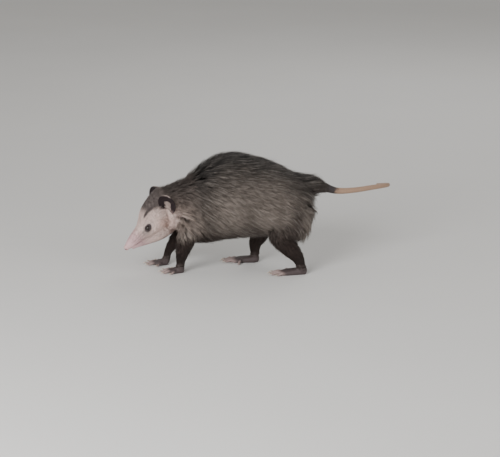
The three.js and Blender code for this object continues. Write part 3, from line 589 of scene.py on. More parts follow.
# %% Trees of nodes
class Tree:
    """Adds nodes to a tree and returns their outputs as wires."""

    def __init__(self, tree):
        self.tree = tree

    def feed(self, socket, value):
        """Links a wire into a socket, or sets a constant on it."""
        if isinstance(value, Wire):
            self.tree.links.new(value.socket, socket)
        else:
            socket.default_value = value

    def node(self, kind, values=(), output=0, **settings):
        made = self.tree.nodes.new(kind)
        for name, value in settings.items():
            setattr(made, name, value)
        for socket, value in values:
            self.feed(made.inputs[socket], value)
        return Wire(self, made.outputs[output])

    def math(self, operation, *values):
        return self.node("ShaderNodeMath", enumerate(values), operation=operation)

    def vector(self, operation, *values):
        values = [value if isinstance(value, Wire) else tuple(value) for value in values]
        scalar = operation in ("DOT_PRODUCT", "LENGTH", "DISTANCE")
        output = "Value" if scalar else "Vector"
        return self.node("ShaderNodeVectorMath", enumerate(values), output, operation=operation)

    def scaled(self, vector, share):
        values = [(0, vector), ("Scale", share)]
        return self.node("ShaderNodeVectorMath", values, operation="SCALE")

    def split(self, vector):
        axes = self.node("ShaderNodeSeparateXYZ", [(0, vector)]).socket.node
        return [Wire(self, output) for output in axes.outputs]

    def combined(self, *values):
        return self.node("ShaderNodeCombineXYZ", enumerate(values))

    def ramp(self, value, low, high):
        """0 below low, 1 above high and a soft rise between them, or the other way round."""
        swap = low > high
        ends = (high, low, 1, 0) if swap else (low, high, 0, 1)
        names = ("From Min", "From Max", "To Min", "To Max")
        values = [("Value", value), *zip(names, ends)]
        return self.node("ShaderNodeMapRange", values, interpolation_type="SMOOTHSTEP")

    def mix(self, share, first, second):
        values = [(0, share)]
        for index, value in ((6, first), (7, second)):
            values.append((index, value if isinstance(value, Wire) else (*value, 1)))
        return self.node("ShaderNodeMix", values, 2, data_type="RGBA")

    def noise(self, place, scale, detail=2.0, roughness=0.5):
        names = ("Vector", "Scale", "Detail", "Roughness")
        return self.node("ShaderNodeTexNoise", zip(names, (place, scale, detail, roughness)), "Fac")

    def attribute(self, name, output="Fac"):
        return self.node("ShaderNodeAttribute", [], output, attribute_name=name)

    def group(self, group, **values):
        return self.node("ShaderNodeGroup", values.items(), node_tree=group)

    def head_places(self, place):
        """How far a place lies behind the nose, to either side of the head's middle, and up."""
        away = self.vector("SUBTRACT", place, OCCIPUT)
        ahead, left, up = [self.vector("DOT_PRODUCT", away, way) for way in (FORWARD, LEFT, UP)]
        return HEAD_LENGTH - ahead, abs(left), up


print("trees ready")

# %% Materials and groups of nodes
class Material(Tree):
    """A material, with constants on the shader's own sockets."""

    def __init__(self, name, roughness, **constants):
        self.made = bpy.data.materials.new(name)
        self.made.use_nodes = True
        super().__init__(self.made.node_tree)
        self.shader = self.tree.nodes["Principled BSDF"].inputs
        self.shader["Roughness"].default_value = roughness
        for socket, value in constants.items():
            self.shader[socket.replace("_", " ")].default_value = value

    def own_place(self):
        """A shader's own place, in the animal's millimetres."""
        coordinates = self.node("ShaderNodeTexCoord", output="Object")
        return self.vector("SUBTRACT", self.scaled(coordinates, 1 / MM), MOVE)

    def paint(self, colour):
        self.feed(self.shader["Base Color"], colour)
        return self.made

    def bump(self, height, strength, distance):
        values = [("Height", height), ("Strength", strength), ("Distance", distance)]
        self.feed(self.shader["Normal"], self.node("ShaderNodeBump", values))


def new_group(name, sockets, result, kind):
    """A node group. Returns it as a tree, with its inputs as wires and its output socket."""
    group = bpy.data.node_groups.new(name, "ShaderNodeTree")
    for socket, socket_kind in sockets:
        group.interface.new_socket(socket, in_out="INPUT", socket_type=socket_kind)
    group.interface.new_socket(result, in_out="OUTPUT", socket_type=kind)
    tree = Tree(group)
    inputs = group.nodes.new("NodeGroupInput").outputs
    wires = [Wire(tree, inputs[socket]) for socket, _ in sockets]
    return tree, wires, group.nodes.new("NodeGroupOutput").inputs[result]


print("materials and groups ready")

# %% [markdown]
# The colours were set by comparing renders with the photo, one region at a time. The group
# measures along the head's three directions and along the body, and softens every edge with
# noise, because no marking of a living coat ends in a line.

# %% Colours of coat and skin
FACE_PALE = (0.86, 0.68, 0.62)
FACE_BLUSH = (0.78, 0.54, 0.465)
MUZZLE_PINK = (0.62, 0.41, 0.42)
CROWN_GREY = (0.195, 0.16, 0.15)
STREAK_DARK = (0.12, 0.096, 0.092)
EYE_DARK = (0.030, 0.019, 0.021)
EAR_DARK = (0.016, 0.009, 0.010)
NECK_TAN = (0.195, 0.156, 0.135)
NECK_PALE = (0.33, 0.262, 0.225)
NAPE_DARK = (0.105, 0.087, 0.079)
FLANK_TAUPE = (0.197, 0.165, 0.143)
# a pale tone of the fur, also used as painted light in the flank patches and on the elbow
PALE_FUR_AND_LIGHT = (0.285, 0.24, 0.21)
# the back's own dark fur, made darker still as painted shade on the top of the body
DORSAL_DARK_AND_SHADE = (0.037, 0.033, 0.031)
# dark fur, used for the painted shade on the belly, the dark flank patches and the darker rear end
DARK_FUR_AND_SHADE = (0.085, 0.067, 0.059)
LEG_DARK = (0.044, 0.030, 0.026)
FOOT_SKIN = (0.060, 0.042, 0.042)
TOE_PALE = (0.42, 0.31, 0.29)
# middle of a painted highlight on the upper arm
ELBOW_HIGHLIGHT = (-126.0, -50.0, 88.0)
# soft patches on both flanks, partly the coat's own tone: the pale ones partly painted light, the dark
# ones partly painted shade. Middle x and z, reach along x and z, strength, colour
FLANK_PATCHES_OF_LIGHT_AND_SHADE = [
    ((-98.0, 126.0), (18.0, 48.0), 0.50, DARK_FUR_AND_SHADE),
    ((-60.0, 133.0), (25.0, 24.0), 1.0, PALE_FUR_AND_LIGHT),
    ((4.0, 120.0), (18.0, 24.0), 1.0, PALE_FUR_AND_LIGHT),
    ((-27.0, 96.0), (22.0, 20.0), 0.85, DARK_FUR_AND_SHADE),
    ((59.0, 105.0), (18.0, 42.0), 1.0, DARK_FUR_AND_SHADE),
    ((34.0, 124.0), (15.0, 26.0), 0.5, PALE_FUR_AND_LIGHT),
]
print("soft patches on the flanks:", len(FLANK_PATCHES_OF_LIGHT_AND_SHADE))

# %% The markings
def body_colour(t, x, z, drift):
    """Taupe flanks, pale and dark patches that are partly painted light and shade, a dark band along
    the back that is partly painted shade, painted shade on the belly and a darker rear.
    """
    body = t.mix(t.ramp(drift, 0.50, 0.68) * 0.4, FLANK_TAUPE, PALE_FUR_AND_LIGHT)
    # pale and dark patches: partly the coat's own tone, partly painted light and painted shade
    for (middle_x, middle_z), (reach_x, reach_z), share, tint in FLANK_PATCHES_OF_LIGHT_AND_SHADE:
        across, tall = (x - middle_x) / reach_x, (z - middle_z) / reach_z
        away = t.vector("LENGTH", t.combined(across, tall, (drift - 0.5) * 1.2))
        body = t.mix(t.ramp(away, 1.25, 0.35) * share, body, tint)
    wander = (drift - 0.5) * 38
    ridge = 150 + t.ramp(x, -120, -40) * 36 - t.ramp(x, 0, 112) * 44
    # dark band along the back: partly the coat's own dark back, partly painted shade on the top
    body = t.mix(t.ramp(z - ridge + wander, -34, 14), body, DORSAL_DARK_AND_SHADE)
    # painted shade: the belly darkens towards the floor
    body = t.mix(t.ramp(96 - z + wander, -10, 14) * 0.85, body, DARK_FUR_AND_SHADE)
    # darker towards the rear end
    return t.mix(t.ramp(x + wander * 0.5, 80, 102) * 0.75, body, DARK_FUR_AND_SHADE), wander


def leg_colour(t, body, place, x, z, fine):
    """Dark from elbow and knee down, a painted highlight on the elbow, bare skin on the feet."""
    leg_top = 78 + t.ramp(x, 0, 60) * 4 + (fine - 0.5) * 30
    body = t.mix(t.ramp(z - leg_top, 18, -16), body, LEG_DARK)
    # painted highlight: a pale patch where light falls on the upper arm's fur
    elbow = t.vector("DISTANCE", place, ELBOW_HIGHLIGHT) + (fine - 0.5) * 12
    body = t.mix(t.ramp(elbow, 24, 9), body, PALE_FUR_AND_LIGHT)
    return t.mix(t.ramp(z, 15, 7), body, FOOT_SKIN)


def neck_colour(t, body, x, z, from_nose, wander):
    """Grey tan behind the white face, paler next to it and dark on the nape."""
    at_neck = t.ramp(x, -104, -128)
    body = t.mix(at_neck * t.ramp(z, 78, 100), body, NECK_TAN)
    fringe = t.ramp(from_nose, 126, 104) * t.ramp(z, 84, 100)
    body = t.mix(at_neck * fringe, body, NECK_PALE)
    return t.mix(at_neck * t.ramp(z + wander * 0.4, 122, 150), body, NAPE_DARK)


def face_colour(t, place, behind, left, up, fine):
    """Pale, pinker on muzzle and cheek, with a grey crown and a dark streak in front of it."""
    face = t.mix(t.ramp(behind, 46, 22), FACE_PALE, MUZZLE_PINK)
    cheek = t.vector("LENGTH", t.combined(behind - 79, up + 14))
    face = t.mix(t.ramp(cheek, 20, 3) * 0.75, face, FACE_BLUSH)
    edge = behind + fine * 8 - t.ramp(left, 12, 27) * 22
    face = t.mix(t.ramp(edge, 67, 79) * t.ramp(up, 4, 12), face, CROWN_GREY)
    from_streak = abs(left - (behind - 9) * 0.24) / t.ramp(behind, 48, 74)
    streak = t.ramp(from_streak, 3.4, 0.8) * t.ramp(up, 4, 10)
    streak = streak * t.ramp(behind, 57, 64) * t.ramp(behind, 90, 76)
    face = t.mix(streak, face, STREAK_DARK)
    for side in (1, -1):
        out, along, tall = eye_axes(side)
        eye = t.vector("SUBTRACT", place, eye_centre(side))
        ring = t.combined(*[
            t.vector("DOT_PRODUCT", eye, axis / reach)
            for axis, reach in zip((along, tall, out), EYE_RING)
        ])
        from_eye = t.vector("LENGTH", ring) + fine * 0.3
        face = t.mix(t.ramp(from_eye, 2.1, 1.2) * 0.4, face, CROWN_GREY)
        face = t.mix(t.ramp(from_eye, 1.38, 1.02), face, EYE_DARK)
        ear_foot = t.vector("DISTANCE", place, on_head(98, side * 27.5, 12))
        face = t.mix(t.ramp(ear_foot, 9, 5), face, EAR_DARK)
        smudge = t.vector("DISTANCE", place, on_head(44, side * 15, -4))
        face = t.mix(t.ramp(smudge, 10, 3) * 0.45, face, CROWN_GREY)
    return face


def markings_group():
    """Turns a place in the animal's millimetres into the colour of coat and skin there."""
    t, (place,), result = new_group(
        "markings", [("Place", "NodeSocketVector")], "Color", "NodeSocketColor"
    )
    x, _, z = t.split(place)
    behind, left, up = t.head_places(place)
    drift, fine = t.noise(place, 0.055, 3.0, 0.6), t.noise(place, 0.22, 3.0, 0.6)
    from_nose = behind + (fine - 0.5) * 14
    body, wander = body_colour(t, x, z, drift)
    body = leg_colour(t, body, place, x, z, fine)
    body = neck_colour(t, body, x, z, from_nose, wander)
    face = face_colour(t, place, behind, left, up, fine)
    on_face = t.ramp(from_nose, 114, 102) * t.ramp(up, -52, -46) * t.ramp(left, 41, 36)
    t.feed(result, t.scaled(t.mix(on_face, body, face), 0.86 + fine * 0.28))
    return t.tree


MARKINGS = markings_group()
print("markings:", len(MARKINGS.nodes), "nodes")

# %% [markdown]
# The skin's finish: the markings, paler on the toes, with a fine grain of pores. The grain is
# a bump, because it is far smaller than the mesh. The animal's place in millimetres comes
# from the object's own coordinates, which stay with it from any view.

# %% Skin material
def pores_group():
    """A height with fine pores and soft creases, for bare skin."""
    t, (place, size), result = new_group(
        "pores", [("Place", "NodeSocketVector"), ("Size", "NodeSocketFloat")],
        "Height", "NodeSocketFloat",
    )
    cells = t.node("ShaderNodeTexVoronoi", [("Vector", place), ("Scale", size)], "Distance")
    t.feed(result, cells + t.noise(place, size, 4.0))
    return t.tree


PORES = pores_group()


def skin_material():
    t = Material("skin", 0.62)
    place = t.own_place()
    x, y, z = t.split(place)
    plan = t.combined(x, y)
    colour = t.group(MARKINGS, Place=place)
    pores = t.group(PORES, Place=place, Size=1.1)
    for foot_x, foot_y in FEET:
        away = t.vector("DISTANCE", plan, (foot_x, foot_y, 0))
        toes = t.ramp(away, 14, 24) * t.ramp(x - foot_x, 0, -8) * 0.75
        toes = toes * t.ramp(away, 46, 40) * t.ramp(z, 12, 8)
        colour = t.mix(toes, colour, TOE_PALE)
    t.bump(pores, 0.5, 0.0005)
    return t.paint(t.scaled(colour, 0.86 + pores * 0.12))


skin.data.materials.clear()
skin.data.materials.append(skin_material())
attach(skin, "root")
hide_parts("head", "neck", "torso", "tail_base")
for leg in LEGS:
    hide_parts(leg + "_upper_leg", leg + "_lower_leg", leg + "_foot")
print("skin dressed, pores in", len(PORES.nodes), "nodes")

# %% [markdown]
# The coat could be hair curves, but they don't leave Blender as a shape. Here each tuft is a
# thin closed strand of mesh with a flat triangular section that tapers to a point. All tufts
# of a region are one mesh, built by arrays at once. Each carries its root's place, its height
# along the strand and a tone of its own as attributes for the coat's material, and a small
# patch of its own on an unwrap of the skin, which is unrolled about each part's own axis.

# %% Mesh of many tufts
STRAND_RISE = 0.55  # height of the strand's section against its half width
UV_PATCH = 0.003  # side of each tuft's own patch on the unwrap


def strand_points(lines, widths, across):
    """Three points at each station of a line but the last, where the strand ends in one."""
    along = units(np.gradient(lines, axis=1))
    side = units(flattened(across[:, None, :], along))
    rise = np.cross(along, side)
    half = widths[:, :, None] / 2
    corners = [lines - side * half, lines + rise * half * STRAND_RISE, lines + side * half]
    ring = np.stack(corners, axis=2)[:, :-1]
    return np.concatenate([ring.reshape(len(lines), -1, 3), lines[:, -1:]], axis=1)


def strand_triangles(tufts, stations):
    """The corners of every triangle: a closed root, the sides and the point."""
    each = 3 * (stations - 1) + 1
    pattern = [(0, 2, 1)]
    for k in range(stations - 2):
        for j in range(3):
            a, b = 3 * k + j, 3 * k + (j + 1) % 3
            pattern += [(a, b, b + 3), (a, b + 3, a + 3)]
    end = 3 * (stations - 2)
    pattern += [(end + j, end + (j + 1) % 3, each - 1) for j in range(3)]
    pattern = np.array(pattern)[:, ::-1]
    triangles = pattern[None] + each * np.arange(tufts)[:, None, None]
    return triangles.reshape(-1, 3).astype(np.int32)


def strand_mesh(name, lines, widths, across, tones, unwrap, material):
    """One object of tufts. lines is tufts x stations x 3, widths is tufts x stations."""
    tufts, stations = lines.shape[:2]
    points = strand_points(lines, widths, across)
    triangles = strand_triangles(tufts, stations)
    each = points.shape[1]
    mesh = bpy.data.meshes.new(name)
    mesh.vertices.add(tufts * each)
    mesh.vertices.foreach_set("co", ((points + MOVE) * MM).astype(np.float32).ravel())
    mesh.loops.add(triangles.size)
    mesh.loops.foreach_set("vertex_index", triangles.ravel())
    mesh.polygons.add(len(triangles))
    mesh.polygons.foreach_set("loop_start", np.arange(0, triangles.size, 3, dtype=np.int32))
    mesh.update(calc_edges=True)
    mesh.polygons.foreach_set("use_smooth", [True] * len(triangles))
    station = np.minimum(np.arange(each) // 3, stations - 1) / (stations - 1)
    station[-1] = 1
    keep_values(mesh, "height_along", np.tile(station, tufts))
    keep_values(mesh, "tone", np.repeat(tones, each))
    keep_values(mesh, "root_place", np.repeat(lines[:, 0], each, axis=0))
    corner = np.stack([(np.arange(each) % 3) / 2, station], axis=1)
    corner[-1, 0] = 0.5
    flat = unwrap[:, None, :] * (1 - UV_PATCH) + corner[None] * UV_PATCH
    corners = flat.reshape(-1, 2)[triangles.ravel()].astype(np.float32)
    mesh.uv_layers.new(name="OFBake").data.foreach_set("uv", corners.ravel())
    mesh.materials.append(material)
    made = linked(name, mesh)
    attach(made, "root")
    print(name, tufts, "tufts,", len(triangles), "triangles")


print("triangles in one long tuft:", len(strand_triangles(1, 4)))

# %% [markdown]
# A tuft's colour is the marking at its root. It is darker deep in the coat, where little light
# comes, and each tuft has its own tone, because a coat of one tone looks like felt.

# %% Coat material
def coat_material(name, root_shade, tip_shade, roughness):
    t = Material(name, roughness, Specular_IOR_Level=0.28)
    rise = t.ramp(t.attribute("height_along"), 0.05, 0.95)
    shade = root_shade + rise * (tip_shade - root_shade)
    own = shade * (0.55 + t.attribute("tone") * 0.9)
    marks = t.group(MARKINGS, Place=t.attribute("root_place", "Vector"))
    return t.paint(t.scaled(marks, own))


LONG_COAT = coat_material("long coat", 0.80, 1.18, 0.66)
SHORT_COAT = coat_material("short coat", 0.95, 1.05, 0.7)
print("coat materials:", LONG_COAT.name, "and", SHORT_COAT.name)

# %% [markdown]
# Where tufts grow, how long they are and which way they lie all depend on the part of the
# body. The lie runs back from the nose, along and down the flanks, over the rump and down each
# leg to the toes. It is worked out for all roots at once from the nearest leg, the tail's path
# and the head's frame. Each part has a share from 0 to 1, so one part fades into the next.

# %% Shares of the body's parts
PATH_STEPS = 40  # points along the path of each leg and of the tail
BATCH = 20000  # points measured at once, to spare memory
leg_points, leg_tangents, leg_radii = [], [], []
for rows in LEGS.values():
    places = np.linspace(0, len(rows) - 1, PATH_STEPS)
    path, tangents = curve_points(rows, places)
    leg_points.append(path)
    leg_tangents.append(tangents)
    leg_radii.append(np.interp(places, range(len(rows)), [0.5 * (r[3] + r[4]) for r in rows]))
leg_points, leg_tangents = np.vstack(leg_points), np.vstack(leg_tangents)
leg_radii = np.concatenate(leg_radii)
tail_points, tail_tangents = curve_points(TAIL, np.linspace(0, 4, PATH_STEPS))


def nearest_leg(points):
    """For each point: distance to the nearest leg's surface, that leg's direction and number."""
    gap, best = np.empty(len(points)), np.empty(len(points), int)
    for start in range(0, len(points), BATCH):
        part = slice(start, start + BATCH)
        gaps = np.linalg.norm(points[part, None] - leg_points[None], axis=2) - leg_radii
        gap[part], best[part] = gaps.min(axis=1), gaps.argmin(axis=1)
    return gap, leg_tangents[best], best // PATH_STEPS


def head_share(points):
    behind, left, up = head_places(points)
    beside = smoothstep(42, 36, np.abs(left))
    return smoothstep(122, 98, behind) * smoothstep(-54, -46, up) * beside


def leg_share(points):
    gap, _, _ = nearest_leg(points)
    on_leg = smoothstep(15, 2, gap) * smoothstep(116, 78, points[:, 2])
    return np.maximum(on_leg, smoothstep(44, 30, points[:, 2])) * (1 - head_share(points))


def tail_gap(points):
    """The distance to the tail's path and the path's direction there."""
    gap = np.linalg.norm(points[:, None] - tail_points[None], axis=2)
    return gap.min(axis=1), tail_tangents[gap.argmin(axis=1)]


def tail_share(points):
    """The share of the tail's own lie, and the tail's direction there."""
    gap, along = tail_gap(points)
    share = smoothstep(46, 22, gap) * smoothstep(68, 92, points[:, 0])
    return share * smoothstep(132, 144, points[:, 2]), along


print("points of the skin that lie on the head:", int(head_share(skin_points).sum()))

# %% Lie and length of the coat
def leg_lie(points, along, down):
    """Down each leg, steeper than its path where it leaves the body, and flat over the toes."""
    high = smoothstep(46, 72, points[:, 2])[:, None]
    hind = smoothstep(-60, -20, points[:, 0])[:, None]
    toes = smoothstep(17, 9, points[:, 2])[:, None] * down
    lie = blend(along, np.array([0.8, 0, -0.7]), high)
    lie = lie - np.array([0.35, 0, 0.2]) * high * hind
    return blend(lie, np.array([-1.0, 0, -0.25]), toes)


def lie_of_coat(points, normals):
    x, _, z = points.T
    rump = smoothstep(58, 104, x) * smoothstep(-0.7, -0.2, normals[:, 2])
    rump *= smoothstep(164, 134, z)
    steep = 1 - np.abs(normals[:, 2])
    body = np.stack([1 - 0.35 * rump, 0 * x, -0.10 - 0.42 * steep - 1.1 * rump], axis=1)
    _, along, _ = nearest_leg(points)
    down = leg_share(points)[:, None]
    behind, left, up = head_places(points)
    beside = smoothstep(43, 36, np.abs(left)) * smoothstep(-58, -44, up)
    low = smoothstep(6, -22, up)
    head = (smoothstep(128 - 30 * low, 64 - 16 * low, behind) * beside)[:, None]
    on_tail, tail_along = tail_share(points)
    lie = blend(body, leg_lie(points, along, down), down)
    lie = blend(lie, tail_along, on_tail[:, None])
    return units(flattened(blend(lie, -FORWARD, head), normals))


def coat_depth(points):
    """How high the tips stand over the skin, and how long the tufts are."""
    x, _, z = points.T
    rows = np.interp(x, [row[0] for row in NECK], range(len(NECK)))
    belly = smoothstep(96, 70, z)
    depth = neck_coat_depth(rows) * (1 - 0.25 * belly)
    length = depth * (2.35 - 0.35 * belly) + 2
    down = leg_share(points)
    heights = [15, 35, 55, 75, 92, 108]
    depth = blend(depth, np.interp(z, heights, [1.2, 2.2, 3.6, 5.4, 8.5, 13]), down)
    length = blend(length, np.interp(z, heights, [5, 9, 13, 18, 25, 36]), down)
    gap, _ = tail_gap(points)
    near_tail = smoothstep(44, 22, gap) * smoothstep(84, 106, x)
    tail_length = np.interp(x, [96, 110, 126, 150], [32, 22, 12, 5])
    depth = blend(depth, np.minimum(depth, tail_length * 0.2), near_tail)
    length = blend(length, tail_length, near_tail)
    under_tail = smoothstep(84, 100, x) * smoothstep(150, 136, z) * smoothstep(70, 96, z)
    return depth * (1 - 0.45 * under_tail), length * (1 - 0.35 * under_tail)


print("deepest coat:", coat_depth(skin_points[::50])[0].max().round(1), "mm")

# %% [markdown]
# Roots are spread over the skin's faces by area, with a seeded draw so that every run gives
# the same animal. A root is kept or dropped by a second draw against the share of its kind of
# coat, so that long and short coat mingle where they meet.

# %% Roots on the skin
SEED = 4107
rng = np.random.default_rng(SEED)
mesh = skin.data
mesh.calc_loop_triangles()
tri = np.empty(len(mesh.loop_triangles) * 3, np.int32)
mesh.loop_triangles.foreach_get("vertices", tri)
tri = tri.reshape(-1, 3)
corners = skin_points[tri]
cross = np.cross(corners[:, 1] - corners[:, 0], corners[:, 2] - corners[:, 0])
areas = np.linalg.norm(cross, axis=1) / 2
vertex_normals = np.empty(len(mesh.vertices) * 3)
mesh.vertex_normals.foreach_get("vector", vertex_normals)
vertex_normals = vertex_normals.reshape(-1, 3)


def draw_roots(count, keep):
    """Up to count roots, kept where keep(points, normals) beats a draw from 0 to 1."""
    picked = rng.choice(len(areas), count, p=areas / areas.sum())
    u, v = rng.random(count), rng.random(count)
    over = u + v > 1
    u[over], v[over] = 1 - u[over], 1 - v[over]
    weights = np.stack([1 - u - v, u, v], axis=1)
    points = np.einsum("ij,ijk->ik", weights, corners[picked])
    normals = units(np.einsum("ij,ijk->ik", weights, vertex_normals[tri[picked]]))
    kept = rng.random(count) < keep(points, normals)
    return points[kept], normals[kept]


def near_eye(points):
    """Distance to the nearer eye, where 1 is the edge of its almond ring of bare skin."""
    distances = []
    for side in (1, -1):
        out, along, tall = eye_axes(side)
        away = points - eye_centre(side)
        length, height, depth = EYE_RING
        flat = np.hypot(away @ along / length, away @ tall / height)
        distances.append(np.hypot(flat, away @ out / depth))
    return np.minimum(*distances)


def is_long(points, normals):
    """The share of long coat: neck, trunk, thighs and upper arms."""
    behind, left, up = head_places(points)
    low_leg = smoothstep(52, 38, points[:, 2])
    off_head = np.maximum(smoothstep(102, 110, behind), (up < -50) | (np.abs(left) > 38))
    off_tail = 1 - smoothstep(128, 138, points[:, 0])
    return off_head * (1 - low_leg) * off_tail


def is_short(points, normals):
    """The share of short coat: head, lower legs, tops of the feet and the tail's root."""
    behind, left, up = head_places(points)
    face = (behind < 113) & (up > -50) & (np.abs(left) < 39)
    nose = smoothstep(8, 13, behind)
    eye = smoothstep(0.97, 1.1, near_eye(points))
    lips = 1 - 0.75 * hump(up - mouth_height(behind), 0.6) * (behind < MOUTH_BACK)
    finer = np.interp(behind, [10, 45, 110], [1.0, 0.8, 0.5])
    low = (1 - face) * (1 - is_long(points, normals))
    tops = smoothstep(8, 14, points[:, 2]) * 0.8
    tail_end = smoothstep(146, 132, points[:, 0])
    return face * nose * eye * lips * finer + low * tops * tail_end


print("skin area:", round(areas.sum() / 100), "square centimetres")

# %% [markdown]
# Where two parts meet, their lies can differ sharply, and tufts that followed them would part
# or swirl there. So the lie is first taken at points all over the skin and averaged with that
# of its neighbours, a few times over. How well the neighbours agree is kept too, so that the
# tufts can be shorter where the lie still turns.

# %% One soft lie for the whole coat
FIELD_POINTS, FIELD_NEIGHBOURS, FIELD_ROUNDS = 9000, 26, 6


def nearest_in(tree, points, count):
    return np.array([[found[1] for found in tree.find_n(point, count)] for point in points])


def soft_field():
    """A tree of points, with the soft lie at each and how well the lies round it agree."""
    points, normals = draw_roots(FIELD_POINTS, lambda points, normals: 1.0)
    tree = KDTree(len(points))
    for i, point in enumerate(points):
        tree.insert(point, i)
    tree.balance()
    near = nearest_in(tree, points, FIELD_NEIGHBOURS)
    facing = np.einsum("ij,ikj->ik", normals, normals[near])
    weight = np.clip(facing, 0.02, 1)[:, :, None]
    lie = lie_of_coat(points, normals)
    for _ in range(FIELD_ROUNDS):
        lie = flattened(np.mean(lie[near] * weight, axis=1), normals)
        agreement = np.linalg.norm(lie, axis=1)
        lie = units(lie)
    return tree, lie, agreement


FIELD_TREE, FIELD_LIE, FIELD_AGREEMENT = soft_field()


def soft_lie(points, normals):
    """The soft lie at each point, and how well the lies round it agree."""
    near = nearest_in(FIELD_TREE, points, 4)
    lie = units(flattened(FIELD_LIE[near].mean(axis=1), normals))
    return lie, FIELD_AGREEMENT[near].mean(axis=1)


print("agreement of the lie:", np.round(np.percentile(FIELD_AGREEMENT, [5, 50, 95]), 2))

# %% [markdown]
# Long fur grows in clumps. A few thousand guide lines follow the skin with the soft lie, and
# each tuft of the coat copies the nearest guide and closes up to it towards the tip, as real
# hair does. That is far quicker than tracing each tuft over the skin, and it gives the coat
# its soft locks.

# %% Guides of the long coat
COAT_SHARE = 1.0
GUIDES = 6200
LONG_TUFTS = 82000
STATIONS = 4
KNOTS = np.linspace(0, 1, STATIONS)
ROOT_SUNK = 1.2  # mm that a long tuft's root lies under the skin
STEPS = 2  # steps over the skin from one station to the next
MOST_BEND = 0.55  # radians from one stretch of a guide to the next
BACK_TOP = 212.0  # mm over the floor, where hair begins to lie down


def eased(lines):
    """The same lines with their bends kept small, as hair is stiff."""
    for k in range(2, STATIONS):
        before, after = lines[:, k - 1] - lines[:, k - 2], lines[:, k] - lines[:, k - 1]
        size = np.linalg.norm(after, axis=1, keepdims=True) + 1e-9
        before = units(before)
        angle = np.arccos(np.clip(np.sum(before * after, axis=1, keepdims=True) / size, -1, 1))
        share = np.clip(MOST_BEND / (angle + 1e-6), 0, 1)
        turned = blend(before, after / size, share)
        turned *= size / (np.linalg.norm(turned, axis=1, keepdims=True) + 1e-9)
        lines[:, k:] += (turned - after)[:, None]
    return lines


def lowered(lines):
    """The same lines, with what stands over the back's height halved."""
    lines[:, :, 2] -= 0.5 * np.maximum(lines[:, :, 2] - BACK_TOP, 0)
    return lines


def on_skin(points, normals):
    """The nearest places of the skin, and its directions outwards there."""
    for i, place in enumerate((points + MOVE) * MM):
        points[i], normals[i], _, _ = SKIN_TREE.find_nearest(place)
    return points / MM - MOVE, normals


def trace_guides(points, normals):
    """Guide lines that follow the skin with the lie and rise to the coat's depth."""
    depth, length = coat_depth(points)
    _, agreement = soft_lie(points, normals)
    length = length * rng.uniform(0.88, 1.12, len(points)) * np.interp(agreement, [0.6, 0.9], [0.6, 1])
    foot, normal = points.copy(), normals.copy()
    lines = np.empty((len(points), STATIONS, 3))
    lines[:, 0] = points - normals * ROOT_SUNK
    for k in range(1, STATIONS):
        for _ in range(STEPS):
            lie, _ = soft_lie(foot, normal)
            foot, normal = on_skin(foot + lie * (length / (STATIONS - 1) / STEPS)[:, None], normal)
        here, _ = coat_depth(foot)
        height = (depth + (here - depth) * KNOTS[k]) * math.sin(math.pi / 2 * KNOTS[k]) ** 0.75
        lines[:, k] = foot + normal * height[:, None]
    return lowered(eased(lines))


def nearest_of(points, centres, batch=4000):
    """The index of the nearest centre for each point."""
    nearest = np.empty(len(points), int)
    for start in range(0, len(points), batch):
        part = slice(start, start + batch)
        gap = np.sum((points[part, None] - centres[None]) ** 2, axis=2)
        nearest[part] = gap.argmin(axis=1)
    return nearest


SKIN_TREE = BVHTree.FromObject(skin, bpy.context.evaluated_depsgraph_get())
guide_roots, guide_normals = draw_roots(GUIDES, is_long)
guides = trace_guides(guide_roots, guide_normals)
print("guides:", len(guides))

# %% [markdown]
# A tuft keeps its own root, size and width. It closes up to its guide by a share of its own
# and wanders a little towards the tip. The coat is cut into six pieces from front to rear,
# because one mesh of all its triangles would be too big to handle.

# %% Long tufts
PIECES = 6
BODY_MIDDLE = 118  # height of the trunk's long axis


def long_tufts(roots, normals):
    count = len(roots)
    guide = guides[nearest_of(roots, guide_roots)]
    offset = roots - normals * ROOT_SUNK - guide[:, 0]
    run = (guide - guide[:, :1]) * rng.uniform(0.72, 1.08, count)[:, None, None]
    clump = rng.uniform(0.15, 0.65, count)[:, None, None]
    closing = 1 - clump * (KNOTS**1.4)[None, :, None]
    spin = rng.normal(0, 1, (count, 1, 3)) * 1.5 * (KNOTS**1.5)[None, :, None]
    ripple = rng.normal(0, 0.35, (count, STATIONS, 3)) * KNOTS[None, :, None]
    lines = guide[:, :1] + offset[:, None] * closing + run + spin + ripple
    lines[:, :, 2] = np.maximum(lines[:, :, 2], 1.0)
    across = np.cross(units(run[:, -1]), normals)
    width = rng.uniform(0.8, 1.45, count)[:, None] * np.array([0.8, 1.0, 0.65, 0.0])
    return lines, width, across


def body_unwrap(points):
    """The trunk unrolled about its own long axis."""
    around = np.arctan2(points[:, 1], points[:, 2] - BODY_MIDDLE) / (2 * math.pi) + 0.5
    return np.clip(np.stack([around, (points[:, 0] + 185) / 330], axis=1), 0, 1)


roots, root_normals = draw_roots(int(LONG_TUFTS * COAT_SHARE), is_long)
lines, widths, across = long_tufts(roots, root_normals)
tones = np.clip(rng.normal(0.5, 0.15, len(roots)), 0, 1)
for number, part in enumerate(np.array_split(np.argsort(roots[:, 0]), PIECES)):
    strand_mesh(
        f"coat_body_{number + 1}", lines[part], widths[part], across[part], tones[part],
        body_unwrap(roots[part]), LONG_COAT,
    )

# %% [markdown]
# Over the soft coat stand sparse guard hairs, longer, thinner and pale towards their tips.
# They are what makes this animal look frosted. Each follows a guide too, but rises a little
# higher and doesn't close up to its clump.

# %% Guard hairs
GUARD_HAIRS = 6000
GUARD_TIP = (0.44, 0.39, 0.35)


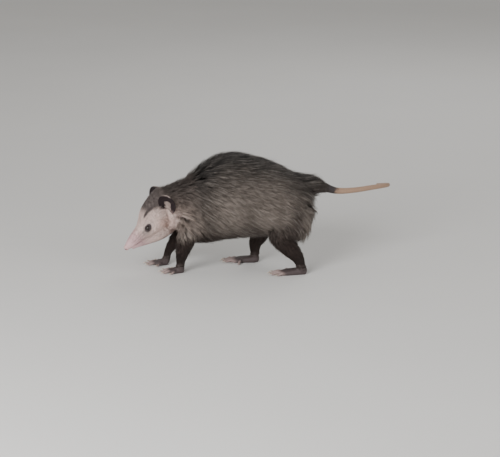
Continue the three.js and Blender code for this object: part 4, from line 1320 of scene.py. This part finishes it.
def guard_material():
    """A guard hair: the marking at its root, fading to a pale tip."""
    t = Material("guard hair", 0.5, Specular_IOR_Level=0.3)
    pale = t.ramp(t.attribute("height_along"), 0.25, 0.9) * t.attribute("tone")
    marks = t.group(MARKINGS, Place=t.attribute("root_place", "Vector"))
    return t.paint(t.mix(pale, marks, GUARD_TIP))


def is_guarded(points, normals):
    """Guard hairs grow on back, flanks and rump, none on neck, legs and tail."""
    x, _, z = points.T
    on_trunk = smoothstep(-128, -96, x) * smoothstep(104, 92, x)
    return is_long(points, normals) * on_trunk * (1 - leg_share(points)) * smoothstep(60, 90, z)


def guard_hairs():
    points, normals = draw_roots(int(GUARD_HAIRS * COAT_SHARE), is_guarded)
    count = len(points)
    guide = guides[nearest_of(points, guide_roots)]
    run = (guide - guide[:, :1]) * rng.uniform(0.92, 1.15, count)[:, None, None]
    lift = (rng.uniform(0.3, 3.2, count)[:, None] * KNOTS[None] ** 1.5)[:, :, None]
    sway = rng.normal(0, 2.2, (count, 1, 3)) * (KNOTS**1.6)[None, :, None]
    lines = lowered((points - normals)[:, None] + run + lift * normals[:, None] + sway)
    across = np.cross(run[:, -1], normals)
    widths = rng.uniform(0.45, 0.65, count)[:, None] * np.array([1.0, 1.0, 0.7, 0.0])
    tones = rng.uniform(0.35, 0.95, count)
    strand_mesh(
        "guard_hairs", lines, widths, across, tones, body_unwrap(points), guard_material(),
    )


guard_hairs()

# %% [markdown]
# Face, lower legs and feet have short fur that lies close. Each tuft is small and nearly
# straight, so it needs no guide: it leaves the skin at a low angle and follows the lie.
# The tufts get smaller towards nose, eyes and toes.

# %% Short coat
SHORT_TUFTS = 300000


def short_length(points):
    x, _, z = points.T
    behind, _, _ = head_places(points)
    on_face = np.interp(behind, [8, 25, 55, 80, 96, 112], [1.4, 2.6, 4.4, 7, 11, 19])
    on_face *= 0.5 + 0.5 * smoothstep(1, 1.9, near_eye(points))
    on_leg = np.interp(z, [8, 15, 26, 50], [1.3, 2.2, 4.6, 11])
    on_tail = np.interp(x, [120, 146], [9, 4])
    return np.where(head_share(points) > 0.5, on_face, np.where(x > 116, on_tail, on_leg))


def short_tufts(points, normals):
    count = len(points)
    lie, _ = soft_lie(points, normals)
    length = short_length(points) * rng.uniform(0.75, 1.25, count)
    across = np.cross(lie, normals)
    lie = lie + across * rng.normal(0, 0.16, (count, 1))
    behind, _, _ = head_places(points)
    ruff = smoothstep(88, 108, behind) * head_share(points)
    lift = 0.2 + 0.16 * ruff + rng.normal(0, 0.045, count)
    knots = np.linspace(0, 1, 3)
    run = (knots[None] * length[:, None])[:, :, None] * lie[:, None]
    high = (length * lift)[:, None] * np.sin(knots * math.pi * 0.62)[None] - 0.35
    lines = points[:, None] + run + high[:, :, None] * normals[:, None]
    lines[:, :, 2] = np.maximum(lines[:, :, 2], 0.3)
    wide = np.clip(length * 0.16, 0.40, 1.1) * rng.uniform(0.8, 1.2, count)
    return lines, wide[:, None] * np.array([1.0, 0.85, 0.0]), across


def head_unwrap(points):
    behind, left, up = head_places(points)
    around = np.arctan2(left, up + 6) / (2 * math.pi) + 0.5
    return np.clip(np.stack([around, behind / 120], axis=1), 0, 1)


def legs_unwrap(points):
    """Each leg unrolled about its own axis, in its own quarter of the square."""
    _, _, number = nearest_leg(points)
    away = points - leg_points.reshape(len(LEGS), PATH_STEPS, 3).mean(axis=1)[number]
    around = np.arctan2(away[:, 1], away[:, 0])
    u = (around / (2 * math.pi) + 0.5) * 0.24 + 0.25 * number
    return np.clip(np.stack([u, points[:, 2] / 170], axis=1), 0, 1)


roots, normals = draw_roots(int(SHORT_TUFTS * COAT_SHARE), is_short)
on_head_part = head_share(roots) > 0.5
for name, chosen, unwrap, slot in (
    ("coat_head", on_head_part, head_unwrap, "face_fur"),
    ("coat_legs", ~on_head_part, legs_unwrap, "leg_fur"),
):
    picked = np.nonzero(chosen)[0]
    halves = np.array_split(picked[np.argsort(roots[picked, 1])], 2)
    for half, label in zip(halves, ("left", "right")):
        lines, widths, across = short_tufts(roots[half], normals[half])
        tones = np.clip(rng.normal(0.5, 0.085, len(half)), 0, 1)
        strand_mesh(
            f"{name}_{label}", lines, widths, across, tones, unwrap(roots[half]), SHORT_COAT
        )

# %% [markdown]
# The eyes are black and wet, set well into the head, with a clear bulging front. A ball with
# a second, tighter curve in front gives that bulge. The lids are rims of dark skin that wrap
# the ball and leave an almond opening, thick enough to cast a line of shade on it.

# %% Eyes and lids
LID_OPENING = (5.2, 3.6)  # half length and half height on the ball
LID_RADIUS = 6.15  # of the lid's edge
LID_ROOT = math.radians(112)  # from the eye's facing back to where the lid goes under the skin
LID_INNER = 0.86  # size of the lid's inner face against its outer one
BULGE, BULGE_REACH = 0.55, 0.62  # of the clear front, in millimetres and radians
# share of the way from opening to root, radius on the ball
LID_PROFILE = [
    (-0.02, 5.62), (0.0, LID_RADIUS), (0.05, 6.62), (0.16, 6.85), (0.34, 6.85), (0.6, 6.5), (1.0, 6.0),
]


def ball_ring(side, angle, polar, radius):
    """A ring on the eye's ball. Polar is the angle from the eye's facing at each point."""
    out, along, tall = eye_axes(side)
    aside = np.outer(np.cos(angle), along) + np.outer(np.sin(angle), tall)
    return eye_centre(side) + (np.outer(np.cos(polar), out) + aside * np.sin(polar)[:, None]) * radius


def eye_material():
    t = Material("wet eye", 0.16, Coat_Weight=0.35, Coat_Roughness=0.04, Specular_IOR_Level=0.3)
    cloud = t.noise(t.own_place(), 0.6)
    return t.paint(t.mix(cloud, (0.010, 0.007, 0.006), (0.026, 0.016, 0.012)))


def eye_piece(name, side, material):
    out, _, _ = eye_axes(side)
    angle, rows = turns(40), 26
    rings = []
    for k in range(rows - 1, 0, -1):
        polar = math.pi * k / rows
        radius = EYE_RADIUS + BULGE * hump(polar, BULGE_REACH)
        rings.append(ball_ring(side, angle, np.full(len(angle), polar), radius))
    made = add_object(name, *loft(rings, eye_centre(side) + out * (EYE_RADIUS + BULGE)))
    made.data.materials.append(material)
    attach(made, "root")
    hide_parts(f"eye_{'left' if side > 0 else 'right'}")


def lid_piece(name, side, material):
    """A rim of skin over the ball, from the almond opening out to the head's skin."""
    angle = turns(48)
    c, s = np.cos(angle), np.sin(angle)
    opening = np.hypot(LID_OPENING[0] * c, LID_OPENING[1] * s * (1 - 0.25 * c**4))
    start = np.arcsin(np.minimum(opening / LID_RADIUS, 0.97))
    rings = [
        ball_ring(side, angle, start + (LID_ROOT - start) * share, radius)
        for share, radius in LID_PROFILE
    ]
    centre = eye_centre(side)
    rings += [centre + (ring - centre) * LID_INNER for ring in rings[:0:-1]]
    points, faces = loft(rings)
    count = len(rings) * len(angle)
    faces = [face for face in faces if max(face) < count]
    last = count - len(angle)
    for j in range(len(angle)):
        after = (j + 1) % len(angle)
        faces.append((last + j, last + after, after, j))
    made = add_object(name, points[:count], faces)
    made.data.materials.append(material)
    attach(made, "root")


def lid_material():
    """The lids carry the face's markings, so their dark ring is the skin's own."""
    t = Material("lid skin", 0.5)
    place = t.own_place()
    t.bump(t.group(PORES, Place=place, Size=1.6), 0.4, 0.0004)
    return t.paint(t.mix(0.6, t.group(MARKINGS, Place=place), EYE_DARK))


EYE = eye_material()
LID = lid_material()
for label, side in (("left", 1), ("right", -1)):
    eye_piece(f"eyeball_{label}", side, EYE)
    lid_piece(f"eyelid_{label}", side, LID)
    print(label, "eye at", eye_centre(side).round(1))

# %% [markdown]
# The nose is a bare, moist, pink pad. Its form comes from the same few sections as its solid,
# with more sides. The nostrils are deep dimples that curl outwards, and a shallow groove runs
# down the middle. Dimples by moving points keep the pad one closed mesh.

# %% Nose
# behind the nose, half width, top, bottom
NOSE = [
    [-3.2, 1.6, 0.2, -2.6], [-1.6, 4.2, 2.6, -5], [1.4, 5.2, 3.7, -6.1],
    [3.6, 5.2, 3.9, -6.2], [5.5, 4.7, 3.2, -5.6], [8, 3.6, 2.2, -4.6],
]


def nose_piece():
    rings = []
    for at in np.concatenate([np.linspace(-3.6, 0, 18), np.linspace(0.5, 8, 10)]):
        half_width, top, bottom = read_at(NOSE, at)
        close = math.sqrt(max(1 - ((at + 0.2) / 3.5) ** 2, 0.03)) if at < -0.2 else 1
        middle = (top + bottom) / 2
        top, bottom = middle + (top - middle) * close, middle + (bottom - middle) * close
        ring = section(48, half_width * close, top, bottom)
        rings.append([on_head(at, left, up) for left, up in ring])
    points, faces = loft(rings)
    behind, left, up = head_places(points)
    front = smoothstep(3.5, 0.5, behind)
    across = np.abs(left)
    nostril = hump(np.hypot(across - 2.5, (up + 1.4) * 0.85), 1.15)
    slit = hump(np.hypot((across - 4.1) * 0.6, up + 0.7), 0.85)
    depth = 2.6 * nostril + 1.4 * slit + 0.7 * hump(left, 0.55)
    made = add_object("nose_pad", points - FORWARD * (depth * front)[:, None], faces)
    made.data.materials.append(nose_material())
    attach(made, "root")
    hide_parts("nose")
    return int((depth * front > 1).sum())


def nose_material():
    t = Material(
        "nose skin", 0.34, Subsurface_Weight=0.15, Subsurface_Radius=(0.004, 0.0015, 0.001)
    )
    place = t.own_place()
    _, left, up = t.head_places(place)
    nostril = t.vector("LENGTH", t.combined(left - 2.6, up + 1.3))
    pink = t.mix(t.noise(place, 0.5, 3.0), (0.58, 0.35, 0.35), (0.72, 0.49, 0.48))
    t.bump(t.group(PORES, Place=place, Size=2.6), 0.5, 0.0004)
    # the nostrils are painted near black: painted shade in their openings
    return t.paint(t.mix(t.ramp(nostril, 2.0, 0.9), pink, (0.07, 0.025, 0.025)))


print("nose set, points deep in the nostrils:", nose_piece())

# %% [markdown]
# Each ear is a thin cup of bare black skin with a narrow pale rim at its top and paler skin at
# its root. It is one leaf with a front and a back face: wide and round above, narrow at the
# root, curved across, with soft pleats inside. The edge is rolled and thinner.

# %% Ears
EAR_HEIGHT, EAR_HALF_WIDTH, EAR_CUP = 38, 18.2, 7
EAR_THICKNESS, EAR_EDGE = 1.5, 0.8
EAR_GRID = 34  # faces up the leaf and across it
EAR_ROUND = 2.3  # how full the round top is: 2 is an ellipse
EAR_ROOT = (95, 34.5, -1)  # behind the nose, aside, up
EAR_RIM, EAR_FOOT = (0.30, 0.24, 0.22), (0.30, 0.22, 0.21)
EARS = {
    "left": {"side": 1, "upright": (0.1, -0.36, 1), "facing": (-0.4, -0.92, 0.12)},
    "right": {"side": -1, "upright": (0.15, 0.66, 0.8), "facing": (-0.6, 0.9, 0.12)},
}


def ear_axes(ear):
    upright = np.array(ear["upright"], float)
    upright /= np.linalg.norm(upright)
    facing = np.array(ear["facing"], float)
    facing -= upright * np.dot(facing, upright)
    facing /= np.linalg.norm(facing)
    behind, aside, up = EAR_ROOT
    return on_head(behind, ear["side"] * aside, up), upright, facing, np.cross(upright, facing)


def ear_point(ear, u, v):
    """A point of the cup's front face, by its height u and its place v across."""
    root, upright, facing, across = ear_axes(ear)
    outline = math.sin(math.pi / 2 * min(1, 0.3 + 1.4 * u)) ** 0.62
    above = min(max((u - 0.45) / 0.55, 0), 0.9985)
    outline *= (1 - above**EAR_ROUND) ** (1 / EAR_ROUND)
    cup = EAR_CUP * (1 - 0.45 * u) * (1 - v * v) * min(1, outline * 1.15)
    pleats = 0.35 * math.sin(9 * v) * hump(u - 0.4, 0.28) * (1 - v * v)
    depth = cup - 2.5 * u * u + 3 * (1 - u) ** 3 + pleats
    lift = EAR_HEIGHT * (u - 0.05 * u * v * v)
    return root + upright * lift + across * EAR_HALF_WIDTH * outline * v - facing * depth


def ear_leaf(ear):
    """The points of the leaf's front face and then of its back face."""
    _, _, facing, _ = ear_axes(ear)
    front, back = [], []
    for u in 1 - (1 - np.arange(EAR_GRID + 1) / EAR_GRID) ** 1.5:
        for v in np.linspace(-1, 1, EAR_GRID + 1):
            point = ear_point(ear, u, v)
            thick = EAR_EDGE + (EAR_THICKNESS - EAR_EDGE) * (1 - v * v) * (1 - u * u)
            front.append(point - facing * 0.3 * max(abs(v) ** 8, u**10))
            back.append(point - facing * (thick + 0.2))
    return np.array(front + back)


def ear_piece(label, ear):
    points = ear_leaf(ear)
    wide, offset = EAR_GRID + 1, len(points) // 2
    faces = []
    for r in range(EAR_GRID):
        for a in range(r * wide, r * wide + EAR_GRID):
            faces.append((a, a + 1, a + 1 + wide, a + wide))
            faces.append(tuple(corner + offset for corner in (a, a + wide, a + 1 + wide, a + 1)))
    index = np.arange(offset).reshape(wide, wide)
    edge = [*index[0, :-1], *index[:-1, -1], *index[-1, :0:-1], *index[:0:-1, 0]]
    for a, b in zip(edge, edge[1:] + edge[:1]):
        faces.append((a, a + offset, b + offset, b))
    made = add_object(f"ear_cup_{label}", points, faces)
    made.data.materials.append(ear_material(label, ear))
    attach(made, "root")
    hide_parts(f"ear_{label}")


def ear_material(label, ear):
    """Black skin, with a pale rim along the upper front edge."""
    t = Material(f"ear skin {label}", 0.62, Specular_IOR_Level=0.3)
    place = t.own_place()
    root, upright, _, across = ear_axes(ear)
    away = t.vector("SUBTRACT", place, root)
    high = t.vector("DOT_PRODUCT", away, upright)
    aside = t.vector("DOT_PRODUCT", away, across) * -ear["side"]
    fine = t.noise(place, 0.35, 3.0)
    colour = t.mix(fine, (0.008, 0.004, 0.005), (0.022, 0.012, 0.014))
    colour = t.mix(t.ramp(high + aside * 0.16 + fine, 33.5, 36), colour, EAR_RIM)
    t.bump(t.group(PORES, Place=place, Size=0.9), 0.5, 0.0006)
    return t.paint(t.mix(t.ramp(high, 8, 1) * 0.5, colour, EAR_FOOT))


for label, ear in EARS.items():
    ear_piece(label, ear)
print("ears set, width in mm:", 2 * EAR_HALF_WIDTH)

# %% [markdown]
# Pale fur stands in the lower part of each ear's cup. The tufts are rooted in the cup's own
# face, low in the middle, and lean out of it. Whiskers are single stiff hairs: long thin cones
# that sweep back from the upper lip, and a few from the brow.

# %% Ear fur and whiskers
EAR_TUFTS = 620


def plain_hair_material(name, root, tip, roughness):
    t = Material(name, roughness)
    return t.paint(t.mix(t.attribute("height_along"), root, tip))


def ear_fur(label, ear):
    _, upright, facing, across = ear_axes(ear)
    count = EAR_TUFTS
    high = rng.uniform(0.04, 0.42, count)
    aside = rng.normal(-0.06 * ear["side"], 0.15, count)
    length = rng.uniform(5, 9, count)
    start = np.array([ear_point(ear, u, v) for u, v in zip(high, aside)]) - facing * 0.2
    lean = upright + across * rng.normal(0, 0.2, (count, 1))
    lean = lean + facing * rng.normal(0.4, 0.1, (count, 1))
    lean /= np.linalg.norm(lean, axis=1, keepdims=True)
    lines = start[:, None] + lean[:, None] * (length[:, None] * KNOTS)[:, :, None]
    lines = lines - facing * (KNOTS**2)[None, :, None] * 0.9
    widths = rng.uniform(0.5, 0.8, count)[:, None] * np.array([0.8, 1, 0.7, 0])
    strand_mesh(
        f"ear_fur_{label}", lines, widths, np.tile(across, (count, 1)),
        rng.uniform(0.4, 0.9, count), head_unwrap(start), EAR_FUR,
    )


EAR_FUR = plain_hair_material("ear fur", (0.44, 0.34, 0.30), (0.64, 0.52, 0.47), 0.7)
WHISKER = plain_hair_material("whisker", (0.03, 0.02, 0.02), (0.30, 0.26, 0.25), 0.4)
for label, ear in EARS.items():
    ear_fur(label, ear)


def whiskers():
    """Four rows of five on each side of the upper lip, and four over each eye."""
    knots = np.linspace(0, 1, 6)[:, None]
    lines = []
    for side in (1, -1):
        for row in range(4):
            for column in range(5):
                behind = 13 + 4.4 * column + 1.2 * row
                half_width, _, _ = read_at(CRANIUM, behind)
                start = on_head(behind, side * (half_width - 2.2), -1.5 - 2.6 * row)
                length = (20 + 7 * column) * rng.uniform(0.85, 1.1)
                fan = 0.55 - 0.05 * column
                aim = LEFT * side * fan - FORWARD * 0.8 + UP * (0.16 - 0.2 * row)
                aim /= np.linalg.norm(aim)
                droop = -UP * 0.16 * length - LEFT * side * 0.1 * length
                lines.append(start + aim * length * knots + droop * knots**2)
        for k in range(4):
            start = on_head(51 + 2.5 * k, side * (14.5 + 0.4 * k), 8.2 + 0.8 * k)
            aim = LEFT * side * 0.4 - FORWARD * 0.8 + UP * 0.36
            lines.append(start + aim * (11 + 2 * k) * knots - FORWARD * 3 * knots**2)
    lines = np.array(lines)
    count = len(lines)
    widths = np.tile([0.34, 0.32, 0.28, 0.22, 0.14, 0], (count, 1))
    strand_mesh(
        "whiskers", lines, widths, np.tile(UP, (count, 1)), np.full(count, 0.5),
        head_unwrap(lines[:, 0]), WHISKER,
    )


whiskers()

# %% [markdown]
# The tail leaves the fur of the rump as black, scaly skin and turns pale after two fingers' width.
# Its scales stand in rings. They are real relief here: each ring of points swells and shrinks,
# and rows are set like bricks. Colour follows the distance along the tail.

# %% Tail
TAIL_FROM = 1.6  # row of the table where the bare tail starts, under the fur
TAIL_SIDES = 60
TAIL_END = 4.0  # length of its rounded tip
SCALE_PITCH = 1.9  # from one ring of scales to the next
SCALE_RINGS = 5  # rings of points for each ring of scales
SCALES_ROUND = 20
SCALE_RELIEF = 0.26
TAIL_BLACK = (0.030, 0.022, 0.023)


def tail_piece():
    coarse = np.linspace(TAIL_FROM, len(TAIL) - 1, 500)
    line, _ = curve_points(TAIL, coarse)
    run = np.concatenate([[0], np.cumsum(np.linalg.norm(np.diff(line, axis=0), axis=1))])
    steps = int(run[-1] / (SCALE_PITCH / SCALE_RINGS))
    distances = np.linspace(0, run[-1], steps)
    places = np.interp(distances, run, coarse)
    radii = [[i, row[3]] for i, row in enumerate(TAIL)]
    angle = turns(TAIL_SIDES)
    rings = []
    for distance, place, centre, along in zip(distances, places, *curve_points(TAIL, places)):
        radius = read_at(radii, place)[0]
        to_tip = min((run[-1] - distance) / TAIL_END, 1)
        radius *= math.sqrt(max(1 - (1 - to_tip) ** 2, 0.02))
        row = distance / SCALE_PITCH
        shift = math.pi / SCALES_ROUND * (int(row) % 2)
        cell = np.abs(np.cos((angle + shift) * SCALES_ROUND / 2)) ** 0.5
        swell = (1 - 0.75 * (row % 1)) * (0.35 + 0.65 * cell)
        reach = radius - 0.18 + SCALE_RELIEF * swell * min(radius / 5, 1)
        rings.append(hoop(centre, along, angle, reach[:, None], reach[:, None]))
    made = add_object("tail", *loft(rings))
    far = np.concatenate([np.repeat(distances, TAIL_SIDES), [0, run[-1]]])
    keep_values(made.data, "distance_along", far)
    made.data.materials.append(tail_material())
    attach(made, "root")
    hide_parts("tail_mid", "tail_tip")
    return made


def tail_material():
    t = Material("tail skin", 0.5)
    place = t.own_place()
    blotch = t.noise(place, 0.16, 3.0, 0.6)
    edge = t.attribute("distance_along") + (blotch - 0.5) * 22
    pale = t.mix(blotch, (0.31, 0.19, 0.125), (0.44, 0.285, 0.195))
    t.bump(t.group(PORES, Place=place, Size=1.4), 0.45, 0.0005)
    return t.paint(t.mix(t.ramp(edge, 27, 41), TAIL_BLACK, pale))


print("tail:", len(tail_piece().data.polygons), "faces")

# %% [markdown]
# Claws are short curved horn cones that get paler towards the tip. Each takes its root
# and tip from its own solid, so it sits on its toe, and its root is sunk into the skin.

# %% Claws
CLAW_SUNK = 1.4  # of the root, into the toe
CLAW_RADIUS, CLAW_FLAT = 1.3, 0.72  # at the root, and its width against its height
CLAW_ARCH = 0.9  # how far the middle stands over a straight line
CLAW_SIDES, CLAW_RINGS = 14, 9


def claw_material():
    t = Material("claw horn", 0.32)
    streak = t.attribute("height_along") + t.noise(t.own_place(), 0.9) * 0.3
    return t.paint(t.mix(streak, (0.22, 0.15, 0.12), (0.66, 0.56, 0.46)))


def claw_piece(node, foot_middle, material):
    corners = vertex_array(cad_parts[node].data)
    tip = corners[np.linalg.norm(corners - foot_middle, axis=1).argmax()]
    root = corners[np.argsort(-np.linalg.norm(corners - tip, axis=1))[:5]].mean(axis=0)
    length = np.linalg.norm(tip - root)
    along = (tip - root) / length
    side = np.cross(along, [0, 0, 1.0])
    side /= np.linalg.norm(side)
    rise = np.cross(side, along)
    start = root - along * CLAW_SUNK
    length += CLAW_SUNK
    angle = turns(CLAW_SIDES)
    shares = np.arange(CLAW_RINGS) / CLAW_RINGS
    rings = []
    for share in shares:
        centre = start + along * length * share + rise * CLAW_ARCH * math.sin(math.pi * share)
        radius = CLAW_RADIUS * (1 - share) ** 0.75
        ring = np.outer(np.cos(angle), side) * CLAW_FLAT + np.outer(np.sin(angle), rise)
        rings.append(centre + ring * radius)
    made = add_object("horn_" + node, *loft(rings, start + along * length))
    keep_values(made.data, "height_along", [*np.repeat(shares, CLAW_SIDES), 0, 1])
    made.data.materials.append(material)
    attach(made, "root")
    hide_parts(node)


HORN = claw_material()
claws = [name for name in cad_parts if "_claw_" in name]
for name in claws:
    low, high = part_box(name.split("_claw_")[0] + "_foot")
    claw_piece(name, np.array((low + high) / 2) / MM - MOVE, HORN)
print("claws:", len(claws))

# %% [markdown]
# The animal stands on a plain pale floor in soft light from above and the left, with a weak
# fill, so that the coat's shades are its own. The camera looks along +Y from a little above,
# far away with a long lens, and its frame is as wide as the photo's at the animal.

# %% Floor, light and camera
PHOTO_WIDTH = 500  # pixels
MM_PER_PIXEL = 1.818
ELEVATION = 14  # degrees
DISTANCE = 4.0  # metres
SENSOR = 36.0
FLOOR_REACH = 6.0
LOOK_AT = (0.0, 0.0, 74.0)  # millimetres in the animal's own place
WORLD_COLOUR, WORLD_STRENGTH = (0.92, 0.905, 0.88, 1), 0.48
# place, size, power
LIGHTS = {
    "key": ((-1.1, -2.2, 1.1), 1.4, 62),
    "fill": ((1.9, -1.4, 0.9), 1.8, 15),
    "back": ((0.6, 1.8, 1.6), 1.4, 9),
}


def aimed(made, place, target):
    made.location = place
    made.rotation_euler = (Vector(target) - Vector(place)).to_track_quat("-Z", "Y").to_euler()


def floor():
    r = FLOOR_REACH
    mesh = bpy.data.meshes.new("floor")
    mesh.from_pydata([(-r, -r, 0), (r, -r, 0), (r, r, 0), (-r, r, 0)], [], [(0, 1, 2, 3)])
    made = linked("floor", mesh)
    t = Material("pale floor", 0.9)
    coordinates = t.node("ShaderNodeTexCoord", output="Object")
    colour = t.mix(t.noise(coordinates, 3.0), (0.74, 0.73, 0.71), (0.78, 0.77, 0.75))
    made.data.materials.append(t.paint(colour))


floor()
for name, (place, size, power) in LIGHTS.items():
    data = bpy.data.lights.new(name, "AREA")
    data.shape = "DISK"
    data.size = size
    data.energy = power
    aimed(linked(name, data), place, (0, 0, 0.1))
world = bpy.data.worlds.new("studio")
world.use_nodes = True
background = world.node_tree.nodes["Background"].inputs
background["Color"].default_value = WORLD_COLOUR
background["Strength"].default_value = WORLD_STRENGTH
bpy.context.scene.world = world

target = Vector((np.array(LOOK_AT) + MOVE) * MM)
lift = math.radians(ELEVATION)
camera_data = bpy.data.cameras.new("camera")
camera_data.sensor_width = SENSOR
camera_data.lens = SENSOR * DISTANCE / (PHOTO_WIDTH * MM_PER_PIXEL * MM)
camera = linked("camera", camera_data)
aimed(camera, target + Vector((0, -math.cos(lift), math.sin(lift))) * DISTANCE, target)
bpy.context.scene.camera = camera
print("camera lens:", round(camera_data.lens, 1), "mm")
